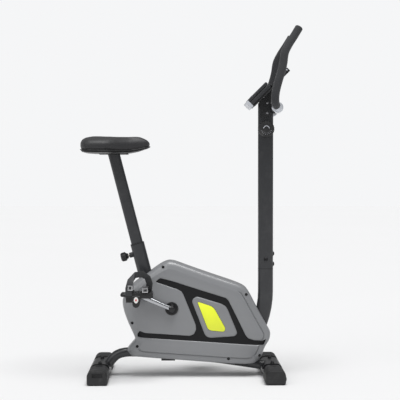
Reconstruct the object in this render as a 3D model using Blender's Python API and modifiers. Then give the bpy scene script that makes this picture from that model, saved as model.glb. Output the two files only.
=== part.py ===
"""Magnetic upright exercise bike as an assembly of separate pieces: +X forward, +Z up, floor at Z = 0."""

import math

import bmesh
import bpy
from mathutils import Matrix, Vector

GAP = 0.0003
STEEL_WALL = 0.0025

# Floor bars and their end caps
BAR_HALF_WIDTH = 0.0345
BAR_BOTTOM = 0.003
BAR_TOP = 0.052
BAR_CORNER = 0.020
CAP_WALL = 0.003
CAP_START = 0.122
REAR_BAR_X = -0.336
REAR_CAP_END = 0.237
FRONT_BAR_X = 0.310
FRONT_CAP_END = 0.235
PLATE_HALF_LENGTH = 0.080
PLATE_THICKNESS = 0.003
WHEEL_RADIUS = 0.018
WHEEL_WIDTH = 0.020
WHEEL_X = 0.3325
WHEEL_Z = 0.0205
WHEEL_Y = FRONT_CAP_END - 0.020
WHEEL_PIN_RADIUS = 0.004
WHEEL_SLOT_GAP = 0.0015

# Main frame
BASE_RADIUS = 0.018
BASE_PATH = ((-0.318, 0.030), (-0.300, 0.055), (-0.277, 0.078), (-0.245, 0.088), (-0.200, 0.089),
             (-0.120, 0.083), (0.000, 0.075), (0.120, 0.063), (0.220, 0.048), (0.300, 0.036))
SEAT_LEAN = math.radians(14.6)
SEAT_TOP = Vector((-0.198, 0.0, 0.500))
SEAT_TUBE_LENGTH = 0.430
SEAT_TUBE_DEPTH = 0.052
SEAT_TUBE_WIDTH = 0.046
SEAT_TUBE_CORNER = 0.012
BUSHING_WALL = 0.0015
BUSHING_LENGTH = 0.070
BUSHING_LIP = 0.004
POST_ABOVE = 0.350
POST_BELOW = 0.180
POST_HOLE_PITCH = 0.025
POST_HOLE_RADIUS = 0.0058
PIN_ALONG = -0.0345
PIN_RADIUS = 0.004
PIN_TRAVEL = 0.010
KNOB_RADIUS = 0.017
KNOB_LENGTH = 0.029
KNOB_CLEAR = 0.0045
BOSS_RADIUS = 0.010
BOSS_LENGTH = 0.0135

# Handlebar post and the neck below it
POST_X = 0.289
POST_DEPTH = 0.057
POST_WIDTH = 0.038
POST_CORNER = 0.013
SEAM_Z = 0.406
SPIGOT_LENGTH = 0.080
POST_TOP = 1.034
BEND_CENTRE = Vector((-0.049, 0.0, 0.320))
BEND_RADIUS = 0.338
BEND_ANGLE = math.radians(45.0)

# Crank
CRANK_X = -0.0675
CRANK_Z = 0.260
CRANK_LENGTH = 0.140
CRANK_REST = math.radians(157.0)
AXLE_RADIUS = 0.010
AXLE_END_RADIUS = 0.0075
SHELL_RADIUS = 0.021
SHELL_HALF = 0.028
ARM_INNER = 0.069
ARM_THICKNESS = 0.014
ARM_HALF_WIDTH = 0.008
ARM_BOSS = 0.0165
ARM_TIP = 0.013
SPINDLE_RADIUS = 0.007
PEDAL_INNER = 0.103
PEDAL_OUTER = 0.193
PEDAL_THICKNESS = 0.021
PEDAL_REAR = -0.048
PEDAL_FRONT = 0.061
STRAP_THICKNESS = 0.003
STRAP_WIDTH = 0.024

# Drive inside the covers
PULLEY_RADIUS = 0.095
PULLEY_Y = -0.039
PULLEY_WIDTH = 0.013
BELT_THICKNESS = 0.0025
BELT_WIDTH = 0.010
FLYWHEEL_X = 0.105
FLYWHEEL_Z = 0.215
FLYWHEEL_RADIUS = 0.100
FLYWHEEL_HALF = 0.014
FLY_PULLEY_RADIUS = 0.014
FLY_AXLE_RADIUS = 0.006
IDLER_RADIUS = 0.014
MAGNET_PIVOT = Vector((0.188, 0.0, 0.298))
MAGNET_GAP = 0.003
MAGNET_DEPTH = 0.010

# Covers
COVER_WALL = 0.0025
COVER_HALF = 0.062
TRIM_DEPTH = 0.0003
TRIM_WALL = 0.0022

# Handlebar
BAR_X = 0.324
BAR_Z = 1.010
BAR_RADIUS = 0.0127
BAR_SIDES = 16
GRIP_WALL = 0.0023
SENSOR_WALL = 0.0071
SENSOR_START = 0.096
SENSOR_END = 0.150
CLAMP_HALF = 0.020
CLAMP_WALL = 0.0035

# Console, measured along its tilted base
CONSOLE_ORIGIN = Vector((0.2478, 0.0, 1.0233))
CONSOLE_TILT = math.radians(45.0)
BASE_LENGTH = 0.181
BASE_HALF = 0.078
BASE_THICKNESS = 0.005
BOX_LENGTH = 0.088
BOX_FRONT = -0.0084
LIP_LENGTH = 0.0126
BOX_HALF = 0.074
BOX_DEPTH = 0.0355

# Tension knob
TENSION_Z = 0.9355
TENSION_RADIUS = 0.0315
TENSION_DEPTH = 0.024

COVER_EDGE = ((-146, 401), (-110, 427), (-82, 440), (-58, 438), (-18, 423), (75, 390), (166, 360),
              (208, 342), (224, 323), (258, 256), (290, 199), (307, 168), (303, 140), (282, 109),
              (276, 82), (263, 63), (244, 50), (211, 46), (120, 51), (-45, 64), (-156, 72),
              (-218, 78), (-240, 101), (-204, 143), (-216, 171), (-232, 205), (-248, 247),
              (-255, 285), (-247, 312), (-222, 348))
COVER_FACE = ((-140, 376), (-112, 393), (-80, 409), (-58, 406), (-24, 392), (64, 360), (152, 331),
              (184, 319), (196, 306), (230, 242), (262, 185), (276, 160), (272, 148), (257, 122),
              (248, 95), (238, 84), (226, 78), (206, 76), (121, 81), (-44, 93), (-150, 100),
              (-176, 103), (-186, 112), (-178, 140), (-187, 168), (-203, 207), (-219, 253),
              (-225, 284), (-219, 300), (-199, 325))
COVER_LEVELS = ((0.040, 0.04), (0.052, 0.26), (0.058, 0.84), (0.062, 1.0))
WINDOW = ((-127, 361), (-111, 374), (-63, 362), (27, 333), (136, 299), (145, 290), (177, 226),
          (210, 158), (220, 147), (241, 140), (273, 138), (288, 145), (279, 122), (209, 125),
          (27, 138), (-154, 150), (-196, 154), (-196, 166), (-188, 176), (-168, 168), (-63, 161),
          (0, 157), (16, 163), (25, 181), (23, 200), (-23, 313), (-30, 325), (-45, 333))
BADGE_PANEL = ((27, 306), (116, 279), (134, 270), (142, 258), (176, 176), (178, 166), (170, 156),
               (79, 150), (64, 154), (56, 164), (9, 286), (12, 297))


def clear_scene():
    for old in list(bpy.data.objects):
        bpy.data.objects.remove(old)


clear_scene()
SCENE = bpy.context.scene.collection
PARTS = bpy.data.collections.new("exercise_bike")
SCENE.children.link(PARTS)
CUTTERS = bpy.data.collections.new("cutters")
SCENE.children.link(CUTTERS)
CUTTERS.hide_render = True


def material(name, colour, metallic, roughness):
    made = bpy.data.materials.new(name)
    made.use_nodes = True
    shader = made.node_tree.nodes["Principled BSDF"]
    shader.inputs["Base Color"].default_value = (*colour, 1.0)
    shader.inputs["Metallic"].default_value = metallic
    shader.inputs["Roughness"].default_value = roughness
    made.diffuse_color = (*colour, 1.0)
    return made


FINISHES = {
    "frame": ((0.045, 0.047, 0.052), 0.3, 0.35),
    "steel": ((0.55, 0.55, 0.56), 1.0, 0.35),
    "chrome": ((0.80, 0.80, 0.82), 1.0, 0.12),
    "cover": ((0.22, 0.225, 0.24), 0.0, 0.40),
    "black": ((0.018, 0.018, 0.020), 0.0, 0.45),
    "rubber": ((0.020, 0.020, 0.021), 0.0, 0.80),
    "foam": ((0.040, 0.041, 0.044), 0.0, 0.90),
    "vinyl": ((0.040, 0.041, 0.044), 0.0, 0.50),
    "pale": ((0.62, 0.63, 0.66), 0.1, 0.35),
    "housing": ((0.11, 0.115, 0.13), 0.0, 0.40),
}


def finish(obj, look):
    """Gives the object a material of its own and smooth shading with sharp edges kept."""
    colour, metallic, roughness = FINISHES[look]
    obj.data.materials.append(material(obj.name + "_material", colour, metallic, roughness))
    obj.data.shade_smooth()
    obj.data.set_sharp_from_angle(angle=math.radians(35.0))
    return obj


def solid(name, mesh, cutter=False):
    obj = bpy.data.objects.new(name, mesh)
    if cutter:
        CUTTERS.objects.link(obj)
        obj.hide_render = True
        obj.display_type = "WIRE"
    else:
        PARTS.objects.link(obj)
    return obj


def face_outwards(build):
    bmesh.ops.recalc_face_normals(build, faces=build.faces)
    if build.calc_volume(signed=True) < 0:
        bmesh.ops.reverse_faces(build, faces=build.faces)


def from_bmesh(name, build, cutter=False):
    mesh = bpy.data.meshes.new(name)
    face_outwards(build)
    build.to_mesh(mesh)
    build.free()
    return solid(name, mesh, cutter)


def box(name, low, high, bevel=0.0, matrix=None, cutter=False, segments=2):
    """A cuboid between two corners, rounded by a Bevel, then placed by the matrix."""
    build = bmesh.new()
    bmesh.ops.create_cube(build, size=1.0)
    size = Vector(high) - Vector(low)
    centre = (Vector(high) + Vector(low)) / 2
    for vert in build.verts:
        vert.co = Vector((vert.co.x * size.x, vert.co.y * size.y, vert.co.z * size.z)) + centre
    if matrix is not None:
        build.transform(matrix)
    obj = from_bmesh(name, build, cutter)
    if bevel > 0:
        rounding(obj, bevel, segments)
    return obj


def rounding(obj, width, segments=2, angle=40.0):
    bevel = obj.modifiers.new("rounded_edges", "BEVEL")
    bevel.width = width
    bevel.segments = segments
    bevel.limit_method = "ANGLE"
    bevel.angle_limit = math.radians(angle)


def cylinder(name, start, end, radius, sides=24, bevel=0.0, cutter=False):
    """A rod from one point to another."""
    axis = Vector(end) - Vector(start)
    build = bmesh.new()
    bmesh.ops.create_cone(build, cap_ends=True, segments=sides, radius1=radius, radius2=radius,
                          depth=axis.length)
    turn = axis.to_track_quat("Z", "Y").to_matrix().to_4x4()
    build.transform(Matrix.Translation((Vector(start) + Vector(end)) / 2) @ turn)
    obj = from_bmesh(name, build, cutter)
    if bevel > 0:
        rounding(obj, bevel, 1)
    return obj


def turned(name, profile, centre, axis, steps=32, cutter=False):
    """A closed (radius, height) profile turned about the axis through the centre."""
    build = bmesh.new()
    verts = [build.verts.new((radius, 0.0, height)) for radius, height in profile]
    for first, second in zip(verts, verts[1:] + verts[:1]):
        build.edges.new((first, second))
    mesh = bpy.data.meshes.new(name)
    build.to_mesh(mesh)
    build.free()
    obj = solid(name, mesh, cutter)
    screw = obj.modifiers.new("turned", "SCREW")
    screw.steps = steps
    screw.render_steps = steps
    screw.use_merge_vertices = True
    screw.merge_threshold = 0.00005
    screw.use_normal_calculate = True
    graph = bpy.context.evaluated_depsgraph_get()
    shape = bpy.data.meshes.new_from_object(obj.evaluated_get(graph))
    obj.modifiers.clear()
    build = bmesh.new()
    build.from_mesh(shape)
    bmesh.ops.remove_doubles(build, verts=build.verts, dist=0.00002)
    turn = Vector(axis).to_track_quat("Z", "Y").to_matrix().to_4x4()
    build.transform(Matrix.Translation(Vector(centre)) @ turn)
    face_outwards(build)
    build.to_mesh(obj.data)
    build.free()
    return obj


def loft(name, rings, cutter=False):
    """A closed skin over rings of equal length, with a flat face at each end."""
    build = bmesh.new()
    made = [[build.verts.new(point) for point in ring] for ring in rings]
    for lower, upper in zip(made, made[1:]):
        for i in range(len(lower)):
            j = (i + 1) % len(lower)
            build.faces.new((lower[i], lower[j], upper[j], upper[i]))
    build.faces.new(made[0][::-1])
    build.faces.new(made[-1])
    return from_bmesh(name, build, cutter)


def band(name, outer, inner, low, high):
    """A flat closed loop between two outlines in the X-Z plane, from one Y to another."""
    build = bmesh.new()
    rings = []
    for outline, y in ((outer, low), (outer, high), (inner, high), (inner, low)):
        rings.append([build.verts.new((x, y, z)) for x, z in outline])
    for lower, upper in zip(rings, rings[1:] + rings[:1]):
        for i in range(len(lower)):
            j = (i + 1) % len(lower)
            build.faces.new((lower[i], lower[j], upper[j], upper[i]))
    return from_bmesh(name, build)


def plate(name, outline, low, high, bevel=0.0, cutter=False):
    """An outline in the X-Z plane made solid from one Y to another."""
    rings = [[Vector((x, y, z)) for x, z in outline] for y in (low, high)]
    obj = loft(name, rings, cutter)
    if bevel > 0:
        rounding(obj, bevel, 2, 50.0)
    return obj


def cut(obj, cutter, operation="DIFFERENCE"):
    boolean = obj.modifiers.new(cutter.name, "BOOLEAN")
    boolean.operation = operation
    boolean.solver = "EXACT"
    boolean.object = cutter
    return obj


def join(obj, other):
    """Unites the other solid with this one, and keeps it as a hidden helper."""
    PARTS.objects.unlink(other)
    CUTTERS.objects.link(other)
    other.hide_render = True
    other.display_type = "WIRE"
    return cut(obj, other, "UNION")


def rounded_section(half_u, half_v, corner, steps=3):
    points = []
    for quarter, (sign_u, sign_v) in enumerate(((1, 1), (-1, 1), (-1, -1), (1, -1))):
        for step in range(steps + 1):
            angle = math.radians(90.0 * quarter + 90.0 * step / steps)
            u = sign_u * (half_u - corner) + corner * math.cos(angle)
            v = sign_v * (half_v - corner) + corner * math.sin(angle)
            points.append((u, v))
    return points


def round_section(radius, sides):
    turns = [math.tau * i / sides for i in range(sides)]
    return [(radius * math.cos(turn), radius * math.sin(turn)) for turn in turns]


def swept(name, path, section, cutter=False):
    """A section carried along a path in the X-Z plane."""
    rings = []
    for i, (x, z) in enumerate(path):
        before = path[max(i - 1, 0)]
        after = path[min(i + 1, len(path) - 1)]
        along = Vector((after[0] - before[0], after[1] - before[1])).normalized()
        rings.append([Vector((x - along.y * u, v, z + along.x * u)) for u, v in section])
    return loft(name, rings, cutter)


def smooth_path(points, steps):
    """Points on a smooth curve through the given ones."""
    padded = [points[0]] + list(points) + [points[-1]]
    result = []
    for i in range(1, len(padded) - 2):
        p0, p1, p2, p3 = (Vector(p) for p in padded[i - 1:i + 3])
        for step in range(steps):
            t = step / steps
            result.append(0.5 * ((2 * p1) + (p2 - p0) * t + (2 * p0 - 5 * p1 + 4 * p2 - p3) * t ** 2
                                 + (3 * p1 - p0 - 3 * p2 + p3) * t ** 3))
    result.append(Vector(points[-1]))
    return result


def inset(outline, amount):
    """The outline moved inwards by the amount, along the bisector at each corner."""
    result = []
    count = len(outline)
    area = sum(outline[i - 1][0] * outline[i][1] - outline[i][0] * outline[i - 1][1]
               for i in range(count))
    side = 1.0 if area > 0 else -1.0
    for i in range(count):
        here = Vector(outline[i])
        back = (here - Vector(outline[i - 1])).normalized()
        ahead = (Vector(outline[(i + 1) % count]) - here).normalized()
        bisector = Vector((-(back.y + ahead.y), back.x + ahead.x)).normalized() * side
        normal = Vector((-back.y, back.x)) * side
        result.append(here + bisector * (amount / max(bisector.dot(normal), 0.5)))
    return result


def millimetres(outline):
    return [(x / 1000, z / 1000) for x, z in outline]


def shifted(along, across=0.0):
    """A point on the seat tube's axis, measured from its top, and off it towards the front."""
    up = Vector((-math.sin(SEAT_LEAN), 0.0, math.cos(SEAT_LEAN)))
    forward = Vector((math.cos(SEAT_LEAN), 0.0, math.sin(SEAT_LEAN)))
    return SEAT_TOP + up * along + forward * across


def seat_sweep(name, low, high, depth, width, corner, cutter=False):
    path = [(shifted(t).x, shifted(t).z) for t in (low, high)]
    return swept(name, path, rounded_section(depth / 2, width / 2, corner), cutter)


def neck_path():
    path = [(POST_X, SEAM_Z)]
    steps = 9
    for i in range(steps + 1):
        angle = -BEND_ANGLE * i / steps
        x = BEND_CENTRE.x + BEND_RADIUS * math.cos(angle)
        path.append((x, BEND_CENTRE.z + BEND_RADIUS * math.sin(angle)))
    return path


def neck_sweep(name, grow, cutter=False, path=None):
    section = rounded_section(POST_DEPTH / 2 + grow, POST_WIDTH / 2 + grow, POST_CORNER + grow)
    return swept(name, path or neck_path(), section, cutter)


def base_sweep(name, grow, cutter=False):
    section = round_section(BASE_RADIUS + grow, 20)
    return swept(name, smooth_path(BASE_PATH, 2), section, cutter)


def bar_section(x, grow):
    """The floor bar's outline in X-Z: flat below and rounded above."""
    half = BAR_HALF_WIDTH + grow
    low = BAR_BOTTOM - grow
    high = BAR_TOP + grow
    corner = BAR_CORNER + grow
    foot = 0.006 + grow
    points = []
    for step in range(7):
        angle = math.radians(15.0 * step)
        points.append((x + half - corner + corner * math.cos(angle),
                       high - corner + corner * math.sin(angle)))
    for step in range(7):
        angle = math.radians(90.0 + 15.0 * step)
        points.append((x - half + corner + corner * math.cos(angle),
                       high - corner + corner * math.sin(angle)))
    for step in range(3):
        angle = math.radians(180.0 + 45.0 * step)
        points.append((x - half + foot + foot * math.cos(angle),
                       low + foot + foot * math.sin(angle)))
    for step in range(3):
        angle = math.radians(270.0 + 45.0 * step)
        points.append((x + half - foot + foot * math.cos(angle),
                       low + foot + foot * math.sin(angle)))
    return points


def floor_bar(name, x, half_length):
    """One floor bar, its mounting plate and the two end caps."""
    bar = plate(name + "_stabilizer", bar_section(x, 0.0), -half_length, half_length)
    hollow = plate(name + "_bar_hollow", bar_section(x, -STEEL_WALL), -half_length - 0.01,
                   half_length + 0.01, cutter=True)
    cut(bar, hollow)
    finish(bar, "frame")
    saddle = plate(name + "_mount_plate", bar_section(x, GAP + PLATE_THICKNESS),
                   -PLATE_HALF_LENGTH, PLATE_HALF_LENGTH)
    under = plate(name + "_plate_under", bar_section(x, GAP), -0.2, 0.2, cutter=True)
    cut(saddle, under)
    below = box(name + "_plate_below", (x - 0.1, -0.2, -0.05), (x + 0.1, 0.2, 0.034), cutter=True)
    cut(saddle, below)
    finish(saddle, "frame")


def end_cap(name, x, side, bar_end, cap_end, wheel):
    """A plastic sleeve over one end of a floor bar, closed outside."""
    start = CAP_START * side
    end = cap_end * side
    near = cap_end - 0.006
    outline = bar_section(x, CAP_WALL)
    shrunk = bar_section(x, CAP_WALL - 0.004)
    rings = [[Vector((px, y, pz)) for px, pz in ring]
             for ring, y in ((outline, start), (outline, near * side), (shrunk, end))]
    rings[2] = [Vector((p.x, p.y, max(p.z, 0.0))) for p in rings[2]]
    cap = loft(name, rings)
    socket = plate(name + "_socket", bar_section(x, GAP), start - 0.02 * side,
                   (bar_end + GAP) * side, cutter=True)
    cut(cap, socket)
    if wheel:
        half = WHEEL_WIDTH / 2 + WHEEL_SLOT_GAP
        low_y = WHEEL_Y * side - half
        reach = WHEEL_RADIUS + WHEEL_SLOT_GAP
        slot = box(name + "_wheel_slot", (WHEEL_X - reach, low_y, -0.01),
                   (WHEEL_X + 0.05, low_y + 2 * half, WHEEL_Z + reach), cutter=True)
        cut(cap, slot)
        pin = cylinder(name + "_pin", (WHEEL_X, low_y - 0.002, WHEEL_Z),
                       (WHEEL_X, low_y + 2 * half + 0.002, WHEEL_Z), WHEEL_PIN_RADIUS, 16)
        join(cap, pin)
    finish(cap, "black")


def build_floor():
    rear_end = REAR_CAP_END - 0.012
    front_end = WHEEL_Y - 0.019
    floor_bar("rear", REAR_BAR_X, rear_end)
    floor_bar("front", FRONT_BAR_X, front_end)
    for side, label in ((-1, "right"), (1, "left")):
        end_cap("rear_" + label + "_cap", REAR_BAR_X, side, rear_end, REAR_CAP_END, False)
        end_cap("front_" + label + "_cap", FRONT_BAR_X, side, front_end, FRONT_CAP_END, True)
        half = WHEEL_WIDTH / 2
        bore = WHEEL_PIN_RADIUS + GAP
        profile = ((bore, -half), (WHEEL_RADIUS - 0.003, -half), (WHEEL_RADIUS, -half + 0.003),
                   (WHEEL_RADIUS, half - 0.003), (WHEEL_RADIUS - 0.003, half), (bore, half))
        wheel = turned(label + "_transport_wheel", profile, (WHEEL_X, WHEEL_Y * side, WHEEL_Z),
                       (0, 1, 0), 24)
        finish(wheel, "rubber")


def build_frame():
    base = base_sweep("base_tube", 0.0)
    cut(base, swept("base_hollow", smooth_path(BASE_PATH, 2),
                    round_section(BASE_RADIUS - STEEL_WALL, 16), True))
    for x, label in ((REAR_BAR_X, "rear"), (FRONT_BAR_X, "front")):
        grow = GAP * 2 + PLATE_THICKNESS
        cut(base, plate(label + "_base_end", bar_section(x, grow), -0.06, 0.06, cutter=True))
        low = box(label + "_base_low", (x - BAR_HALF_WIDTH - grow, -0.06, -0.05),
                  (x + BAR_HALF_WIDTH + grow, 0.06, 0.03), cutter=True)
        cut(base, low)
    finish(base, "frame")

    seat = seat_sweep("seat_tube", -SEAT_TUBE_LENGTH, 0.0, SEAT_TUBE_DEPTH, SEAT_TUBE_WIDTH,
                      SEAT_TUBE_CORNER)
    wall = 0.002
    cut(seat, seat_sweep("seat_tube_hollow", -SEAT_TUBE_LENGTH - 0.02, 0.02,
                         SEAT_TUBE_DEPTH - 2 * wall, SEAT_TUBE_WIDTH - 2 * wall,
                         SEAT_TUBE_CORNER - wall, True))
    cut(seat, base_sweep("base_clearance", GAP, True))
    face = -SEAT_TUBE_DEPTH / 2
    join(seat, cylinder("seat_knob_boss", shifted(PIN_ALONG, face + 0.0015),
                        shifted(PIN_ALONG, face - BOSS_LENGTH), BOSS_RADIUS, 24))
    bushing_face = SEAT_TUBE_DEPTH / 2 - wall - GAP - BUSHING_WALL
    pin_hole = cylinder("pin_hole", shifted(PIN_ALONG, face - 0.034),
                        shifted(PIN_ALONG, -bushing_face + 0.0007), PIN_RADIUS + 2 * GAP, 16, cutter=True)
    cut(seat, pin_hole)
    finish(seat, "frame")

    outer_depth = SEAT_TUBE_DEPTH - 2 * wall - 2 * GAP
    outer_width = SEAT_TUBE_WIDTH - 2 * wall - 2 * GAP
    outer_corner = SEAT_TUBE_CORNER - wall - GAP
    bushing = seat_sweep("seat_bushing", -BUSHING_LENGTH, BUSHING_LIP - 0.001, outer_depth, outer_width,
                         outer_corner)
    lip = seat_sweep("bushing_lip", GAP, BUSHING_LIP, SEAT_TUBE_DEPTH, SEAT_TUBE_WIDTH,
                     SEAT_TUBE_CORNER)
    join(bushing, lip)
    cut(bushing, seat_sweep("bushing_hollow", -0.2, 0.05, outer_depth - 2 * BUSHING_WALL,
                            outer_width - 2 * BUSHING_WALL, outer_corner - BUSHING_WALL, True))
    cut(bushing, pin_hole)
    finish(bushing, "black")

    neck = neck_sweep("neck_tube", 0.0)
    spigot_low = SEAM_Z - 0.012
    fit = STEEL_WALL + GAP
    section = rounded_section(POST_DEPTH / 2 - fit, POST_WIDTH / 2 - fit, POST_CORNER - fit)
    spigot = swept("neck_spigot", ((POST_X, spigot_low), (POST_X, SEAM_Z + SPIGOT_LENGTH)), section)
    join(neck, spigot)
    inside = fit + STEEL_WALL
    inner = rounded_section(POST_DEPTH / 2 - inside, POST_WIDTH / 2 - inside, POST_CORNER - inside)
    path = [(POST_X, SEAM_Z + SPIGOT_LENGTH + 0.02)] + neck_path()
    end = Vector(path[-1]) + (Vector(path[-1]) - Vector(path[-2])) * 0.6
    cut(neck, swept("neck_hollow", path + [(end.x, end.y)], inner, True))
    cut(neck, bpy.data.objects["base_clearance"])
    finish(neck, "frame")


def build_seat():
    inner_depth = SEAT_TUBE_DEPTH - 0.004 - 2 * GAP - 2 * BUSHING_WALL
    inner_width = SEAT_TUBE_WIDTH - 0.004 - 2 * GAP - 2 * BUSHING_WALL
    depth = inner_depth - 2 * GAP
    width = inner_width - 2 * GAP
    corner = 0.008
    post = seat_sweep("seat_post", -POST_BELOW, POST_ABOVE + 0.015, depth, width, corner)
    wall = 0.002
    top = shifted(POST_ABOVE)
    cut(post, box("post_above", (top.x - 0.1, -0.1, top.z), (top.x + 0.1, 0.1, top.z + 0.1), cutter=True))
    cut(post, seat_sweep("seat_post_hollow", -POST_BELOW - 0.02, POST_ABOVE + 0.04,
                         depth - 2 * wall, width - 2 * wall, corner - wall, True))
    count = int((POST_ABOVE - 0.060) / POST_HOLE_PITCH)
    for i in range(-5, count):
        along = PIN_ALONG + i * POST_HOLE_PITCH
        hole = cylinder(f"post_hole_{i + 5}", shifted(along, -depth / 2 - 0.005),
                        shifted(along, -depth / 2 + 0.006), POST_HOLE_RADIUS, 12, cutter=True)
        cut(post, hole)
    finish(post, "frame")

    tip = -depth / 2 - GAP
    shank_end = -SEAT_TUBE_DEPTH / 2 - BOSS_LENGTH - PIN_TRAVEL
    knob = cylinder("seat_knob", shifted(PIN_ALONG, tip), shifted(PIN_ALONG, shank_end - 0.004),
                    PIN_RADIUS, 16)
    direction = shifted(0, 0) - shifted(0, 1)
    start = SEAT_TUBE_DEPTH / 2 + BOSS_LENGTH + KNOB_CLEAR
    profile = ((0.0, 0.0), (0.009, 0.0), (0.0115, 0.006), (KNOB_RADIUS, 0.010),
               (KNOB_RADIUS, KNOB_LENGTH - 0.005), (KNOB_RADIUS - 0.004, KNOB_LENGTH), (0.0, KNOB_LENGTH))
    grip = turned("seat_knob_grip", profile, shifted(PIN_ALONG, -start), direction, 12)
    join(knob, grip)
    finish(knob, "black")

    plate_low = top.z + GAP
    slab = box("saddle_plate", (top.x - 0.055, -0.030, 0), (top.x + 0.055, 0.030, 0.003),
               0.001, Matrix.Translation((0, 0, plate_low)), segments=1)
    join_tube = seat_sweep("saddle_socket", POST_ABOVE - 0.022, POST_ABOVE + 0.010,
                           depth - 2 * wall - 2 * GAP, width - 2 * wall - 2 * GAP,
                           corner - wall - GAP)
    join(slab, join_tube)
    cut(slab, box("socket_above", (top.x - 0.1, -0.1, plate_low + 0.003),
                  (top.x + 0.1, 0.1, plate_low + 0.05), cutter=True))
    finish(slab, "steel")

    # Sections of the saddle from the tail to the nose: X, half width, underside and top.
    sections = ((-411, 62, 852, 880), (-405, 92, 846, 897), (-392, 110, 843, 904),
                (-360, 119, 841, 906), (-318, 118, 841, 905), (-280, 100, 841, 904),
                (-245, 72, 841, 904), (-210, 49, 845, 905), (-180, 37, 852, 903),
                (-160, 29, 858, 896), (-149, 18, 864, 886))
    rings = []
    for x, half, low, high in sections:
        middle = (low + high) / 2
        tall = (high - low) / 2
        ring = []
        for i in range(20):
            turn = math.tau * i / 20
            y = half * math.copysign(abs(math.cos(turn)) ** 0.7, math.cos(turn))
            z = middle + tall * math.copysign(abs(math.sin(turn)) ** 0.55, math.sin(turn))
            ring.append(Vector((x / 1000, y / 1000, max(z, low) / 1000)))
        rings.append(ring)
    saddle = loft("saddle", rings)
    recess = box("saddle_recess", (top.x - 0.058, -0.033, 0.80),
                 (top.x + 0.058, 0.033, plate_low + 0.003 + GAP), cutter=True)
    cut(saddle, recess)
    finish(saddle, "vinyl")


def build_post():
    depth = POST_DEPTH / 2
    width = POST_WIDTH / 2
    path = ((POST_X, SEAM_Z + GAP), (POST_X, POST_TOP))
    post = swept("handlebar_post", path, rounded_section(depth, width, POST_CORNER))
    hollow = rounded_section(depth - STEEL_WALL, width - STEEL_WALL, POST_CORNER - STEEL_WALL)
    cut(post, swept("post_hollow", ((POST_X, SEAM_Z - 0.02), (POST_X, POST_TOP + 0.02)), hollow, True))
    notch = BAR_RADIUS + GAP * 2 + CLAMP_WALL
    cut(post, cylinder("post_notch", (BAR_X, -0.05, BAR_Z), (BAR_X, 0.05, BAR_Z), notch, 24, cutter=True))
    cut(post, cylinder("tension_hole", (POST_X, -0.03, TENSION_Z), (POST_X, -0.012, TENSION_Z),
                       0.0066, 16, cutter=True))
    finish(post, "frame")

    half = CLAMP_HALF
    for label, low, high in (("cradle", 90.0, 270.0), ("clamp", -90.0, 90.0)):
        outline = []
        steps = 10
        tilt = -45.0
        inset_angle = math.degrees(GAP / 2 / (BAR_RADIUS + GAP))
        span = (math.radians(low + tilt + inset_angle), math.radians(high + tilt - inset_angle))
        for i in range(steps + 1):
            angle = span[0] + (span[1] - span[0]) * i / steps
            outline.append((BAR_X + (BAR_RADIUS + GAP) * math.cos(angle),
                            BAR_Z + (BAR_RADIUS + GAP) * math.sin(angle)))
        for i in range(steps + 1):
            angle = span[1] + (span[0] - span[1]) * i / steps
            outline.append((BAR_X + (BAR_RADIUS + GAP + CLAMP_WALL) * math.cos(angle),
                            BAR_Z + (BAR_RADIUS + GAP + CLAMP_WALL) * math.sin(angle)))
        finish(plate("handlebar_" + label, outline, -half, half), "frame")

    ring = turned("tension_base", ((0.0066, 0.0), (TENSION_RADIUS - 0.002, 0.0),
                                   (TENSION_RADIUS - 0.002, 0.004), (0.0066, 0.004)),
                  (POST_X, -width - GAP, TENSION_Z), (0, -1, 0), 32)
    finish(ring, "pale")
    start = width + 2 * GAP + 0.004
    shaft = 0.006
    inside = -0.011
    profile = ((0.0, inside), (shaft, inside), (shaft, 0.0), (TENSION_RADIUS - 0.003, 0.0),
               (TENSION_RADIUS, 0.003), (TENSION_RADIUS, TENSION_DEPTH - 0.005),
               (TENSION_RADIUS - 0.004, TENSION_DEPTH - 0.001), (0.020, TENSION_DEPTH - 0.0015),
               (0.016, TENSION_DEPTH), (0.0, TENSION_DEPTH))
    finish(turned("tension_knob", profile, (POST_X, -start, TENSION_Z), (0, -1, 0), 32), "black")



def bar_curve(name, points, radius, look):
    """A round tube of BAR_SIDES flats along points in space, with closed ends."""
    curve = bpy.data.curves.new(name, "CURVE")
    curve.dimensions = "3D"
    spline = curve.splines.new("POLY")
    spline.points.add(len(points) - 1)
    for slot, point in zip(spline.points, points):
        slot.co = (*point, 1.0)
    curve.bevel_depth = radius
    curve.bevel_resolution = (BAR_SIDES - 4) // 2
    curve.use_fill_caps = True
    helper = bpy.data.objects.new(name + "_path", curve)
    CUTTERS.objects.link(helper)
    graph = bpy.context.evaluated_depsgraph_get()
    mesh = bpy.data.meshes.new_from_object(helper.evaluated_get(graph))
    bpy.data.objects.remove(helper)
    build = bmesh.new()
    build.from_mesh(mesh)
    bmesh.ops.remove_doubles(build, verts=build.verts, dist=0.00002)
    obj = from_bmesh(name, build)
    if look:
        finish(obj, look)
    return obj


def arm_points():
    """The handlebar's right-hand half from its bend to the tip, in X, |Y| and Z."""
    rise = ((0.324, 0.1545, 1.010), (0.3195, 0.164, 1.0125), (0.314, 0.175, 1.0175), (0.3105, 0.188, 1.027),
            (0.3095, 0.198, 1.045), (0.3125, 0.200, 1.0684), (0.3219, 0.199, 1.1044), (0.3322, 0.195, 1.137),
            (0.3392, 0.190, 1.1665), (0.3455, 0.183, 1.206), (0.3609, 0.172, 1.238), (0.3813, 0.160, 1.2698),
            (0.4016, 0.150, 1.3031))
    return rise


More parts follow.
